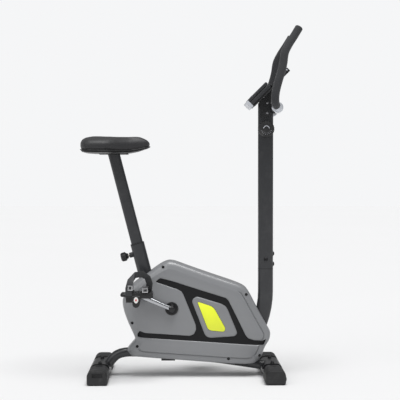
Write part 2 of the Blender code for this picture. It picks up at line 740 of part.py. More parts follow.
def build_handlebar():
    half = list(arm_points())
    half[-1] = tuple(Vector(half[-1]) - (Vector(half[-1]) - Vector(half[-2])).normalized() * 0.004)
    left = [Vector(p) for p in half]
    right = [Vector((p.x, -p.y, p.z)) for p in left]
    centre = [Vector((BAR_X, -0.06, BAR_Z)), Vector((BAR_X, 0.06, BAR_Z))]
    bar_curve("handlebar", right[::-1] + centre + left, BAR_RADIUS, "frame")
    for side, label in ((-1, "right"), (1, "left")):
        points = [Vector((p[0], p[1] * side, p[2])) for p in arm_points()]
        grip = bar_curve(label + "_grip", points[1:], BAR_RADIUS + GRIP_WALL, None)
        bore = [Vector((BAR_X, 0.06 * side, BAR_Z))]
        bore += [Vector((p[0], p[1] * side, p[2])) for p in half]
        clear = (BAR_RADIUS + GAP) / math.cos(math.pi / BAR_SIDES)
        hole = bar_curve(label + "_grip_hole", bore, clear, None)
        PARTS.objects.unlink(hole)
        CUTTERS.objects.link(hole)
        hole.hide_render = True
        hole.display_type = "WIRE"
        cut(grip, hole)
        finish(grip, "foam")
        bore_radius = BAR_RADIUS + GAP
        skin = BAR_RADIUS + SENSOR_WALL
        length = SENSOR_END - SENSOR_START
        profile = ((bore_radius, 0.0), (skin - 0.003, 0.0), (skin, 0.003),
                   (skin, length - 0.003), (skin - 0.003, length), (bore_radius, length))
        sensor = turned(label + "_pulse_sensor", profile, (BAR_X, SENSOR_START * side, BAR_Z),
                        (0, side, 0), 24)
        finish(sensor, "pale")


def console_matrix():
    u = Vector((math.cos(CONSOLE_TILT), 0.0, math.sin(CONSOLE_TILT)))
    n = Vector((-math.sin(CONSOLE_TILT), 0.0, math.cos(CONSOLE_TILT)))
    rotation = Matrix((u, (0.0, 1.0, 0.0), n)).transposed().to_4x4()
    return Matrix.Translation(CONSOLE_ORIGIN) @ rotation


def build_console():
    place = console_matrix()
    base = box("console_base", (BOX_FRONT, -BASE_HALF, 0.0), (BASE_LENGTH, BASE_HALF, BASE_THICKNESS),
               0.0015, place, segments=1)
    hook = box("console_hook", (BASE_LENGTH - 0.015, -BASE_HALF, 0.003),
               (BASE_LENGTH, BASE_HALF, 0.017), 0.002, place, segments=1)
    join(base, hook)
    ledge = box("console_ledge", (BOX_LENGTH + 0.003, -BASE_HALF + 0.01, 0.003),
                (BOX_LENGTH + 0.009, BASE_HALF - 0.01, 0.014), 0.001, place, segments=1)
    join(base, ledge)
    pad = box("tablet_pad", (BOX_LENGTH + 0.012, -BASE_HALF + 0.010, 0.003),
              (BASE_LENGTH - 0.018, BASE_HALF - 0.010, BASE_THICKNESS + 0.001), 0.0, place)
    join(base, pad)
    finish(base, "black")
    low = BASE_THICKNESS + GAP
    split = 0.023
    lower = box("console_lower_housing", (BOX_FRONT, -BOX_HALF, low), (BOX_LENGTH, BOX_HALF, split - GAP),
                0.004, place)
    finish(lower, "housing")
    upper = box("console_upper_housing", (BOX_FRONT, -BOX_HALF, split), (BOX_LENGTH, BOX_HALF, BOX_DEPTH),
                0.004, place)
    screen = box("screen_pocket", (0.030, -0.052, BOX_DEPTH - 0.004), (0.080, 0.052, BOX_DEPTH + 0.01),
                 matrix=place, cutter=True)
    cut(upper, screen)
    button_hole = box("button_pocket", (0.0095, -0.0135, BOX_DEPTH - 0.006),
                      (0.0225, 0.0135, BOX_DEPTH + 0.01), matrix=place, cutter=True)
    cut(upper, button_hole)
    finish(upper, "housing")
    lens = box("console_screen", (0.030 + GAP, -0.052 + GAP, BOX_DEPTH - 0.004 + GAP),
               (0.080 - GAP, 0.052 - GAP, BOX_DEPTH - 0.0005), matrix=place)
    finish(lens, "black")
    button = box("console_button", (0.010, -0.013, BOX_DEPTH - 0.0045), (0.022, 0.013, BOX_DEPTH + 0.0015),
                 0.001, place, segments=1)
    finish(button, "pale")
    lip = box("console_lip", (BOX_FRONT - LIP_LENGTH, -BOX_HALF, 0.003),
              (BOX_FRONT - GAP, BOX_HALF, BOX_DEPTH - 0.002), 0.003, place)
    finish(lip, "pale")

    # The holder reaches from the post's two sides up to the underside of the base.
    cheek_low = POST_WIDTH / 2 + GAP
    outline = ((0.266, 0.981), (0.306, 0.981), (0.3065, 1.030), (0.312, 1.0475), (0.316, 1.062),
               (0.316, 1.0905), (0.283, 1.0575), (0.266, 1.0405), (0.264, 1.034))
    holder = plate("console_holder", outline, -cheek_low - 0.010, cheek_low + 0.010, 0.0)
    inner = ((0.20, 0.90), (0.4, 0.90), (0.4, POST_TOP + GAP), (0.20, POST_TOP + GAP))
    cut(holder, plate("holder_inside", inner, -cheek_low, cheek_low, cutter=True))
    below = box("holder_above", (-0.2, -0.3, -GAP), (0.4, 0.3, 0.1), matrix=place, cutter=True)
    cut(holder, below)
    cut(holder, bpy.data.objects["post_notch"])
    finish(holder, "black")


def cover_solid(name, side, inner, cutter):
    """One half of the covers as a solid block, shrunk inwards by the given wall."""
    edge = inset(millimetres(COVER_EDGE), inner)
    face = inset(millimetres(COVER_FACE), inner)
    start = GAP / 2 if not cutter else -0.001
    rings = [[Vector((p[0], start * side, p[1])) for p in edge]]
    for y, blend in COVER_LEVELS:
        level = (y - inner) * side
        rings.append([Vector((a[0] + (b[0] - a[0]) * blend, level, a[1] + (b[1] - a[1]) * blend))
                      for a, b in zip(edge, face)])
    return loft(name, rings, cutter)


def prism(name, outline, side, grow):
    low = 0.030 * side
    high = 0.080 * side
    return plate(name, inset(millimetres(outline), -grow), min(low, high), max(low, high), cutter=True)


def build_covers():
    crank_hole = cylinder("crank_hole", (CRANK_X, -0.09, CRANK_Z), (CRANK_X, 0.09, CRANK_Z),
                          AXLE_RADIUS + 0.004, 24, cutter=True)
    seat_hole = seat_sweep("seat_tube_opening", -0.30, 0.02, SEAT_TUBE_DEPTH + 0.002,
                           SEAT_TUBE_WIDTH + 0.002, SEAT_TUBE_CORNER, True)
    neck_hole = neck_sweep("neck_opening", 0.001, True)
    base_hole = base_sweep("base_opening", 0.001, True)
    for side, label in ((-1, "right"), (1, "left")):
        cover = cover_solid(label + "_cover", side, 0.0, False)
        cut(cover, cover_solid(label + "_cover_inside", side, COVER_WALL, True))
        cut(cover, prism(label + "_window", WINDOW, side, 0.0))
        for opening in (crank_hole, seat_hole, neck_hole, base_hole):
            cut(cover, opening)
        finish(cover, "cover")

        depth = COVER_WALL + TRIM_DEPTH
        trim = cover_solid(label + "_trim", side, depth, False)
        cut(trim, cover_solid(label + "_trim_inside", side, depth + TRIM_WALL, True))
        cut(trim, prism(label + "_trim_outline", WINDOW, side, 0.004), "INTERSECT")
        finish(trim, "black")

        face = COVER_HALF - depth
        outline = millimetres(BADGE_PANEL)
        low = (face + GAP) * side
        high = COVER_HALF * side
        panel = plate(label + "_badge_panel", outline, min(low, high), max(low, high), 0.0008)
        finish(panel, "cover")


def build_drive():
    shell = cylinder("crank_shell", (CRANK_X, -SHELL_HALF, CRANK_Z), (CRANK_X, SHELL_HALF, CRANK_Z),
                     SHELL_RADIUS, 32)
    gusset = box("shell_gusset", (CRANK_X - 0.070, -0.012, CRANK_Z - 0.018),
                 (CRANK_X - 0.010, 0.012, CRANK_Z + 0.018))
    join(shell, gusset)
    cut(shell, cylinder("shell_bore", (CRANK_X, -0.05, CRANK_Z), (CRANK_X, 0.05, CRANK_Z),
                        AXLE_RADIUS + GAP, 24, cutter=True))
    cut(shell, seat_sweep("shell_clearance", -0.40, 0.0, SEAT_TUBE_DEPTH + 2 * GAP,
                          SEAT_TUBE_WIDTH + 2 * GAP, SEAT_TUBE_CORNER, True))
    cut(shell, box("shell_behind", (-0.30, -0.05, 0.20), (CRANK_X - 0.058, 0.05, 0.32), cutter=True))
    finish(shell, "steel")

    arm_outer = ARM_INNER + ARM_THICKNESS
    profile = ((0.0, -arm_outer), (AXLE_END_RADIUS, -arm_outer), (AXLE_END_RADIUS, -ARM_INNER + 0.002),
               (AXLE_RADIUS, -ARM_INNER + 0.002), (AXLE_RADIUS, ARM_INNER - 0.002),
               (AXLE_END_RADIUS, ARM_INNER - 0.002), (AXLE_END_RADIUS, arm_outer), (0.0, arm_outer))
    finish(turned("crank_axle", profile, (CRANK_X, 0, CRANK_Z), (0, 1, 0), 24), "steel")

    half = PULLEY_WIDTH / 2
    hub = AXLE_RADIUS + GAP
    rim = PULLEY_RADIUS - 0.006
    profile = ((hub, -half), (0.018, -half), (0.018, -0.0025), (rim, -0.0025), (rim, -half),
               (PULLEY_RADIUS, -half), (PULLEY_RADIUS, half), (rim, half), (rim, 0.0025),
               (0.018, 0.0025), (0.018, half), (hub, half))
    finish(turned("crank_pulley", profile, (CRANK_X, PULLEY_Y, CRANK_Z), (0, 1, 0), 48), "black")

    half = FLYWHEEL_HALF
    rim = FLYWHEEL_RADIUS - 0.018
    bore = FLY_AXLE_RADIUS + GAP
    outer = -(PULLEY_Y - PULLEY_WIDTH / 2)
    hub = 0.020
    profile = ((bore, -outer), (FLY_PULLEY_RADIUS, -outer), (FLY_PULLEY_RADIUS, -half - 0.006),
               (hub, -half - 0.006), (hub, -0.004), (rim, -0.004), (rim, -half), (FLYWHEEL_RADIUS, -half),
               (FLYWHEEL_RADIUS, half), (rim, half), (rim, 0.004), (hub, 0.004), (hub, half), (bore, half))
    finish(turned("flywheel", profile, (FLYWHEEL_X, 0, FLYWHEEL_Z), (0, 1, 0), 48), "steel")

    near = -outer - 0.0045
    far = half + 0.0035
    thick = 0.003
    axle = cylinder("flywheel_axle", (FLYWHEEL_X, near - thick - 0.001, FLYWHEEL_Z),
                    (FLYWHEEL_X, far + thick + 0.004, FLYWHEEL_Z), FLY_AXLE_RADIUS, 20)
    finish(axle, "steel")
    foot_z = 0.088
    bracket = box("flywheel_bracket", (FLYWHEEL_X - 0.016, near - thick, foot_z),
                  (FLYWHEEL_X + 0.016, far + thick, foot_z + thick))
    for index, (low, high) in enumerate(((near - thick, near), (far, far + thick))):
        join(bracket, box(f"bracket_side_{index}", (FLYWHEEL_X - 0.016, low, foot_z),
                          (FLYWHEEL_X + 0.016, high, FLYWHEEL_Z + 0.016)))
    join(bracket, box("bracket_foot", (FLYWHEEL_X - 0.016, -0.010, 0.070),
                      (FLYWHEEL_X + 0.016, 0.010, foot_z + 0.001)))
    cut(bracket, bpy.data.objects["base_clearance"])
    cut(bracket, cylinder("bracket_bore", (FLYWHEEL_X, -0.08, FLYWHEEL_Z), (FLYWHEEL_X, 0.08, FLYWHEEL_Z),
                          FLY_AXLE_RADIUS + GAP, 20, cutter=True))
    finish(bracket, "steel")

    between = Vector((FLYWHEEL_X - CRANK_X, FLYWHEEL_Z - CRANK_Z))
    distance = between.length
    heading = math.atan2(between.y, between.x)
    swing = math.acos((PULLEY_RADIUS - FLY_PULLEY_RADIUS) / distance)

    def loop(grow):
        outline = []
        for i in range(25):
            angle = heading + swing + (math.tau - 2 * swing) * i / 24
            outline.append((CRANK_X + (PULLEY_RADIUS + grow) * math.cos(angle),
                            CRANK_Z + (PULLEY_RADIUS + grow) * math.sin(angle)))
        for i in range(9):
            angle = heading - swing + 2 * swing * i / 8
            outline.append((FLYWHEEL_X + (FLY_PULLEY_RADIUS + grow) * math.cos(angle),
                            FLYWHEEL_Z + (FLY_PULLEY_RADIUS + grow) * math.sin(angle)))
        return outline

    inner_grow = 0.0009
    belt = band("drive_belt", loop(inner_grow + BELT_THICKNESS), loop(inner_grow),
                PULLEY_Y - BELT_WIDTH / 2, PULLEY_Y + BELT_WIDTH / 2)
    finish(belt, "rubber")

    lean = heading - swing
    offset = IDLER_RADIUS + inner_grow + BELT_THICKNESS + GAP
    normal = Vector((math.cos(lean), math.sin(lean)))
    touch_big = Vector((CRANK_X, CRANK_Z)) + normal * (PULLEY_RADIUS + offset)
    touch_small = Vector((FLYWHEEL_X, FLYWHEEL_Z)) + normal * (FLY_PULLEY_RADIUS + offset)
    idler = touch_big.lerp(touch_small, 0.42)
    half = 0.006
    pin = 0.004
    profile = ((pin + GAP, -half), (IDLER_RADIUS, -half), (IDLER_RADIUS, half), (pin + GAP, half))
    finish(turned("idler_pulley", profile, (idler.x, PULLEY_Y, idler.y), (0, 1, 0), 24), "black")
    arm = cylinder("idler_arm", (idler.x, PULLEY_Y - half, idler.y), (idler.x, -0.0272, idler.y), pin, 16)
    outline = ((idler.x - 0.009, idler.y - 0.006), (idler.x - 0.009, idler.y + 0.009),
               (idler.x + 0.009, idler.y + 0.009), (idler.x + 0.009, idler.y - 0.006),
               (idler.x + 0.012, 0.080), (idler.x - 0.020, 0.080))
    join(arm, plate("idler_strut", outline, -0.0300, -0.0270))
    join(arm, box("idler_foot", (idler.x - 0.018, -0.0300, 0.078), (idler.x + 0.010, -0.008, 0.086)))
    cut(arm, bpy.data.objects["base_clearance"])
    finish(arm, "steel")

    centre = Vector((FLYWHEEL_X, FLYWHEEL_Z))
    inner_radius = FLYWHEEL_RADIUS + MAGNET_GAP
    outer_radius = inner_radius + MAGNET_DEPTH
    arc = []
    angles = [math.radians(-8.0 + 50.0 * i / 9) for i in range(10)]
    for angle in angles:
        arc.append(tuple(centre + Vector((math.cos(angle), math.sin(angle))) * inner_radius))
    for angle in angles[::-1]:
        arc.append(tuple(centre + Vector((math.cos(angle), math.sin(angle))) * outer_radius))
    magnet = plate("magnet_bracket", arc, -0.013, 0.013)
    pivot = (MAGNET_PIVOT.x, MAGNET_PIVOT.z)
    boss = cylinder("magnet_boss", (pivot[0], -0.013, pivot[1]), (pivot[0], 0.013, pivot[1]), 0.0105, 20)
    join(magnet, boss)
    cut(magnet, cylinder("magnet_bore", (pivot[0], -0.05, pivot[1]), (pivot[0], 0.05, pivot[1]),
                         0.004 + GAP, 16, cutter=True))
    finish(magnet, "steel")
    outline = ((pivot[0] - 0.010, pivot[1] - 0.004), (pivot[0] - 0.006, pivot[1] + 0.009),
               (pivot[0] + 0.008, pivot[1] + 0.009), (0.256, 0.246), (0.256, 0.222))
    lug = plate("magnet_lug", outline, 0.0135, 0.0175)
    join(lug, cylinder("magnet_pin", (pivot[0], -0.014, pivot[1]), (pivot[0], 0.0150, pivot[1]), 0.004, 16))
    cut(lug, neck_sweep("lug_clearance", GAP, True))
    finish(lug, "steel")


def crank_angle(side):
    """The direction of one side's arm; the left arm points opposite the right one."""
    return CRANK_REST if side < 0 else CRANK_REST + math.pi


def build_cranks():
    boss_start = math.asin(ARM_HALF_WIDTH / ARM_BOSS)
    tip_start = math.pi - math.asin(ARM_HALF_WIDTH / ARM_TIP)
    for side, label in ((-1, "right"), (1, "left")):
        angle = crank_angle(side)
        outline = []
        for i in range(13):
            turn = boss_start + (math.tau - 2 * boss_start) * i / 12
            outline.append((ARM_BOSS * math.cos(turn), ARM_BOSS * math.sin(turn)))
        for i in range(9):
            turn = tip_start * (i / 4 - 1)
            outline.append((CRANK_LENGTH + ARM_TIP * math.cos(turn), ARM_TIP * math.sin(turn)))
        turned_points = []
        for x, z in outline:
            turned_points.append((CRANK_X + x * math.cos(angle) - z * math.sin(angle),
                                  CRANK_Z + x * math.sin(angle) + z * math.cos(angle)))
        low = ARM_INNER * side
        high = (ARM_INNER + ARM_THICKNESS) * side
        arm = plate(label + "_crank_arm", turned_points, min(low, high), max(low, high), 0.002)
        cut(arm, cylinder(label + "_arm_bore", (CRANK_X, 0.05 * side, CRANK_Z),
                          (CRANK_X, 0.1 * side, CRANK_Z), AXLE_END_RADIUS + GAP, 20, cutter=True))
        pedal_x = CRANK_X + CRANK_LENGTH * math.cos(angle)
        pedal_z = CRANK_Z + CRANK_LENGTH * math.sin(angle)
        cut(arm, cylinder(label + "_spindle_bore", (pedal_x, 0.05 * side, pedal_z),
                          (pedal_x, 0.1 * side, pedal_z), SPINDLE_RADIUS + GAP, 20, cutter=True))
        finish(arm, "chrome")
        outer = PEDAL_OUTER - 0.006
        spindle = cylinder(label + "_pedal_spindle", (pedal_x, ARM_INNER * side, pedal_z),
                           (pedal_x, outer * side, pedal_z), SPINDLE_RADIUS, 20)
        shoulder = ARM_INNER + ARM_THICKNESS + GAP
        join(spindle, cylinder(label + "_spindle_flat", (pedal_x, shoulder * side, pedal_z),
                               (pedal_x, (PEDAL_INNER - 0.003) * side, pedal_z), 0.0095, 6))
        finish(spindle, "steel")
        build_pedal(label, side, pedal_x, pedal_z)


def build_pedal(label, side, x, z):
    """A pedal that hangs level under its weight, with a strap over it."""
    inner = PEDAL_INNER * side
    outer = PEDAL_OUTER * side
    low_y = min(inner, outer)
    high_y = max(inner, outer)
    top = z + 0.017
    bottom = top - PEDAL_THICKNESS
    body = box(label + "_pedal", (x + PEDAL_REAR + 0.008, low_y, bottom), (x + PEDAL_FRONT, high_y, top),
               0.005, segments=2)
    block = box(label + "_pedal_block", (x - 0.037, low_y + 0.007, z - 0.019),
                (x - 0.009, high_y - 0.007, top + 0.004))
    join(body, block)
    tail = box(label + "_pedal_tail", (x - 0.058, low_y + 0.012, z + 0.001),
               (x - 0.030, high_y - 0.012, top - 0.003), 0.004, segments=1)
    join(body, tail)
    weight_outline = []
    for i in range(9):
        turn = math.pi + math.pi * i / 8
        weight_outline.append((x + 0.013 * math.cos(turn), z - 0.024 + 0.013 * math.sin(turn)))
    weight_outline += [(x + 0.013, z + 0.008), (x - 0.013, z + 0.008)]
    weight = plate(label + "_pedal_weight", weight_outline, low_y - 0.002, high_y + 0.002)
    join(body, weight)
    for row in range(2):
        start = low_y + 0.012 + row * 0.036
        window = box(f"{label}_pedal_window_{row}", (x + 0.020, start, bottom - 0.01),
                     (x + 0.050, start + 0.030, top + 0.01), cutter=True)
        cut(body, window)
    cut(body, cylinder(label + "_pedal_bore", (x, (PEDAL_INNER - 0.01) * side, z),
                       (x, (PEDAL_OUTER - 0.004) * side, z), SPINDLE_RADIUS + GAP, 20, cutter=True))
    finish(body, "black")

    # The strap rises outside the pedal, crosses over the shoe and comes down inside.
    edge = PEDAL_OUTER + GAP + STRAP_THICKNESS / 2 + 0.0005
    foot = PEDAL_INNER - GAP - STRAP_THICKNESS / 2 - 0.0005
    path = ((-0.027, edge, 0.006), (-0.027, edge, 0.034), (-0.020, edge - 0.010, 0.062),
            (-0.004, edge - 0.032, 0.080), (0.020, edge - 0.052, 0.082), (0.040, edge - 0.072, 0.068),
            (0.047, foot + 0.004, 0.044), (0.044, foot, 0.024), (0.044, foot, 0.006))
    rings = []
    for i, (dx, y, dz) in enumerate(path):
        before = Vector(path[max(i - 1, 0)])
        after = Vector(path[min(i + 1, len(path) - 1)])
        along = (after - before).normalized()
        across = along.cross(Vector((0.0, 1.0, 0.0)))
        flat = Vector((1.0, 0.0, 0.0)) - along * along.x
        share = min(1.0, abs(along.z))
        wide = (flat.normalized() * share + across.normalized() * (1.0 - share)).normalized()
        wide = (wide - along * wide.dot(along)).normalized()
        thin = along.cross(wide).normalized()
        middle = Vector((dx, y, dz))
        ring = []
        for a, b in ((1, 1), (-1, 1), (-1, -1), (1, -1)):
            point = middle + wide * (a * STRAP_WIDTH / 2) + thin * (b * STRAP_THICKNESS / 2)
            ring.append(Vector((x + point.x, point.y * side, z + point.z)))
        rings.append(ring)
    strap = loft(label + "_pedal_strap", rings)
    finish(strap, "rubber")


build_floor()
build_frame()
build_seat()
build_post()
build_handlebar()
build_console()
build_covers()
build_drive()
build_cranks()
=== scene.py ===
"""Shows an upright exercise bike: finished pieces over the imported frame, with a pale studio around it."""

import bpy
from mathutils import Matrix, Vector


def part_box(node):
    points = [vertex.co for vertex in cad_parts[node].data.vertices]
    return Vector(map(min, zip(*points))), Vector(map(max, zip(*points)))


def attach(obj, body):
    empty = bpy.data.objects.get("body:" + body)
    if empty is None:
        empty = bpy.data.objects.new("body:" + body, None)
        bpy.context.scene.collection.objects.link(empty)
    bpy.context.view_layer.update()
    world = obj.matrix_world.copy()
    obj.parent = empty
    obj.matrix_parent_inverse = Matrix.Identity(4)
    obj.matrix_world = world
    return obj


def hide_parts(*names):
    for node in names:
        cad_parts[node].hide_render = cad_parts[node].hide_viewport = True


bl_info = {
    "name": "Upright Exercise Bike",
    "version": (1, 0, 0),
    "blender": (4, 5, 0),
    "location": "View3D > Sidebar > Bike",
    "description": "Models the visible pieces of an upright exercise bike over its frame",
    "category": "Object",
}

import math

import bmesh
import bpy
from mathutils import Matrix, Vector

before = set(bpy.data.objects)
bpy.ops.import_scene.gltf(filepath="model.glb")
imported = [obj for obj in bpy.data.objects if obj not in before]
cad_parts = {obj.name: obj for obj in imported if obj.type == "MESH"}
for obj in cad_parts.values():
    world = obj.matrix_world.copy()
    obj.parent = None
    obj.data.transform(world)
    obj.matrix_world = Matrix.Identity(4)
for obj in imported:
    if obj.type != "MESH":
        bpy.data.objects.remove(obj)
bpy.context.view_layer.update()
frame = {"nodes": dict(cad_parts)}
SIDES = ((-1, "right"), (1, "left"))
CRANK = Vector((-0.0675, 0.0, 0.260))
POST_X = 0.289
BAR = Vector((0.324, 0.0, 1.010))
FLOOR_BARS = (("rear", -0.336), ("front", 0.310))
COVER_EDGE = ((-146, 401), (-110, 427), (-82, 440), (-58, 438), (-18, 423), (75, 390), (166, 360),
              (208, 342), (224, 323), (258, 256), (290, 199), (307, 168), (303, 140), (282, 109),
              (276, 82), (263, 63), (244, 50), (211, 46), (120, 51), (-45, 64), (-156, 72),
              (-218, 78), (-240, 101), (-204, 143), (-216, 171), (-232, 205), (-248, 247),
              (-255, 285), (-247, 312), (-222, 348))
COVER_FACE = ((-140, 376), (-112, 393), (-80, 409), (-58, 406), (-24, 392), (64, 360), (152, 331),
              (184, 319), (196, 306), (230, 242), (262, 185), (276, 160), (272, 148), (257, 122),
              (248, 95), (238, 84), (226, 78), (206, 76), (121, 81), (-44, 93), (-150, 100),
              (-176, 103), (-186, 112), (-178, 140), (-187, 168), (-203, 207), (-219, 253),
              (-225, 284), (-219, 300), (-199, 325))
# Distance out from the parting plane in millimetres where the rim is grooved and where it is plain, and the
# share of the way from edge to side face.
COVER_PROFILE = ((0.15, 0.15, 0.030), (1.0, 1.0, 0.0), (28, 28, 0.008), (38, 38, 0.030), (45, 45, 0.085),
                 (50, 50, 0.180), (53.0, 53.4, 0.310), (54.8, 56.0, 0.450), (55.8, 58.2, 0.620),
                 (56.4, 59.7, 0.770), (56.3, 60.0, 0.800), (54.4, 60.2, 0.816), (54.4, 60.6, 0.866),
                 (59.4, 61.0, 0.890), (61.4, 61.5, 0.945), (62.0, 62.0, 1.0))
# The same for the hollow inside, which leaves the wall; past 1 the hollow runs on under the side face.
COVER_HOLLOW = ((-1.0, -1.0, 0.0), (26, 26, 0.012), (36, 36, 0.045), (43, 43, 0.12), (48, 48, 0.24),
                (50.5, 50.5, 0.40), (51.6, 51.6, 0.60), (52.2, 52.2, 0.80), (52.4, 52.4, 0.98),
                (59.5, 59.5, 1.06))
WINDOW = ((-127, 361), (-111, 374), (-63, 362), (27, 333), (136, 299), (145, 290), (177, 226),
          (210, 158), (220, 147), (241, 140), (273, 138), (288, 145), (279, 122), (209, 125),
          (27, 138), (-154, 150), (-196, 154), (-196, 166), (-188, 176), (-168, 168), (-63, 161),
          (0, 157), (16, 163), (25, 181), (23, 200), (-23, 313), (-30, 325), (-45, 333))
BADGE_PANEL = ((27, 306), (116, 279), (134, 270), (142, 258), (176, 176), (178, 166), (170, 156),
               (79, 150), (64, 154), (56, 164), (9, 286), (12, 297))
BADGE = ((28, 287), (82, 269), (93, 259), (134, 186), (130, 173), (78, 178), (68, 184))
COVER_SCREWS = ((-100, 416), (213, 312), (-216, 206), (-197, 118), (146, 70), (263, 82))


def length(name, description, default, low, high):
    return bpy.props.FloatProperty(name=name, description=description, default=default, min=low, max=high,
                                   unit="LENGTH")


def colour(name, description, default):
    return bpy.props.FloatVectorProperty(name=name, description=description, default=default, size=3,
                                         min=0.0, max=1.0, subtype="COLOR")


class BikeSizes(bpy.types.PropertyGroup):
    """Sizes a user may change"""

    cover_wall: length("Cover Wall", "Thickness of the plastic covers", 0.0024, 0.001, 0.004)
    cover_rounding: length("Cover Rounding", "How far each corner of the covers is rounded", 0.012,
                           0.001, 0.03)
    screw_hole: length("Screw Hole", "Radius of the recessed screw holes in the covers", 0.0056, 0.002, 0.008)
    grip_radius: length("Grip Radius", "Outer radius of the foam grips", 0.0150, 0.0135, 0.018)
    sensor_radius: length("Sensor Radius", "Outer radius of the hand pulse sensors", 0.0198, 0.016, 0.024)
    knob_flutes: bpy.props.IntProperty(
        name="Knob Flutes", description="Finger flutes round the tension knob", default=24, min=8, max=40)
    tread_ribs: bpy.props.IntProperty(
        name="Tread Ribs", description="Ribs across each pedal", default=7, min=3, max=12)
    saddle_swell: length("Saddle Swell", "Most that the padding may push the saddle's skin out", 0.005,
                         0.001, 0.012)


class BikeColours(bpy.types.PropertyGroup):
    """Colours a user may change"""

    cover: colour("Covers", "Grey of the plastic covers", (0.235, 0.240, 0.250))
    frame: colour("Frame Paint", "Charcoal paint of the tubes", (0.022, 0.023, 0.026))
    black: colour("Black Plastic", "Moulded black plastic", (0.010, 0.010, 0.011))
    badge: colour("Badge", "Bright plate on the covers", (0.92, 1.0, 0.045))
    vinyl: colour("Saddle Skin", "Vinyl over the saddle", (0.020, 0.020, 0.022))
    foam: colour("Foam", "Foam of the handlebar grips", (0.028, 0.029, 0.032))
    pale: colour("Pale Plastic", "Sensors and console trim", (0.56, 0.58, 0.62))
    floor: colour("Floor", "Studio floor", (0.84, 0.841, 0.845))


# Working helpers

def only(piece):
    bpy.ops.object.select_all(action="DESELECT")
    piece.select_set(True)
    bpy.context.view_layer.objects.active = piece


def modify(piece, kind, **settings):
    """Adds one modifier and applies it."""
    only(piece)
    bpy.ops.object.modifier_add(type=kind)
    modifier = piece.modifiers[-1]
    for key, value in settings.items():
        setattr(modifier, key, value)
    bpy.ops.object.modifier_apply(modifier=modifier.name)


def subtract(piece, *tools):
    for tool in tools:
        modify(piece, "BOOLEAN", operation="DIFFERENCE", solver="EXACT", object=tool)
        bpy.data.objects.remove(tool)


def smooth(piece, degrees=32.0):
    only(piece)
    bpy.ops.object.shade_smooth_by_angle(angle=math.radians(degrees))


def edged(piece, width, segments=2, degrees=35.0):
    """Rounds the sharp edges and shades the rest smoothly."""
    modify(piece, "BEVEL", width=width, segments=segments, limit_method="ANGLE",
           angle_limit=math.radians(degrees), harden_normals=False, use_clamp_overlap=True)
    smooth(piece)


def tidy(piece):
    """Merges doubled points and turns the faces outwards."""
    only(piece)
    bpy.ops.object.mode_set(mode="EDIT")
    bpy.ops.mesh.select_all(action="SELECT")
    bpy.ops.mesh.remove_doubles(threshold=0.00002)
    bpy.ops.mesh.normals_make_consistent(inside=False)
    bpy.ops.object.mode_set(mode="OBJECT")


def grown(name, rings):
    """A skin drawn out from the first ring of points through each of the others."""
    bpy.ops.object.select_all(action="DESELECT")
    bpy.ops.mesh.primitive_circle_add(vertices=len(rings[0]), radius=1.0, fill_type="NGON",
                                      location=(0, 0, 0))
    piece = bpy.context.object
    piece.name = name
    piece.data.name = name
    for vertex, point in zip(piece.data.vertices, rings[0]):
        vertex.co = point
    bpy.ops.object.mode_set(mode="EDIT")
    bpy.ops.mesh.select_all(action="SELECT")
    for ring in rings[1:]:
        edit = bmesh.from_edit_mesh(piece.data)
        if ring is rings[1]:
            place = {tuple(vertex.co): index for index, vertex in enumerate(edit.verts)}
        bpy.ops.mesh.extrude_region_move()
        edit = bmesh.from_edit_mesh(piece.data)
        moved = {}
        for vertex in edit.verts:
            if vertex.select:
                index = place[tuple(vertex.co)]
                vertex.co = ring[index]
                moved[tuple(vertex.co)] = index
        place = moved
        bmesh.update_edit_mesh(piece.data)
    bpy.ops.mesh.select_all(action="SELECT")
    bpy.ops.mesh.normals_make_consistent(inside=False)
    bpy.ops.object.mode_set(mode="OBJECT")
    return piece


def axis_frame(axis):
    along = Vector(axis).normalized()
    side = along.orthogonal().normalized()
    return side, along.cross(side).normalized(), along


def turned(name, profile, centre, axis, steps=48, flutes=0, depth=0.0):
    """A (radius, height) profile carried round an axis; flutes press hollows into its widest stretch."""
    side, other, along = axis_frame(axis)
    widest = max(radius for radius, _ in profile)
    rings = []
    for radius, height in profile:
        ring = []
        for i in range(steps):
            turn = math.tau * i / steps
            bite = 0.0
            if flutes and radius > 0.9 * widest:
                bite = depth * (0.5 + 0.5 * math.cos(turn * flutes))
            point = side * math.cos(turn) * (radius - bite) + other * math.sin(turn) * (radius - bite)
            ring.append(Vector(centre) + point + along * height)
        rings.append(ring)
    return grown(name, rings)


def block(name, low, high, matrix=None):
    """A box from one corner to the other, as a start for a piece or a tool."""
    corners = ((low[0], low[1]), (high[0], low[1]), (high[0], high[1]), (low[0], high[1]))
    rings = [[Vector((x, y, z)) for x, y in corners] for z in (low[2], high[2])]
    if matrix is not None:
        rings = [[matrix @ point for point in ring] for ring in rings]
    return grown(name, rings)


def cornered(outline, reach, steps=5):
    """The outline with each corner replaced by a small curve."""
    result = []
    count = len(outline)
    for i in range(count):
        here = Vector(outline[i])
        back = Vector(outline[i - 1]) - here
        ahead = Vector(outline[(i + 1) % count]) - here
        start = here + back.normalized() * min(reach, back.length * 0.42)
        end = here + ahead.normalized() * min(reach, ahead.length * 0.42)
        for step in range(steps):
            t = step / (steps - 1)
            result.append(start * (1 - t) ** 2 + here * 2 * t * (1 - t) + end * t ** 2)
    return result


def millimetres(outline):
    return [Vector((x / 1000, z / 1000)) for x, z in outline]


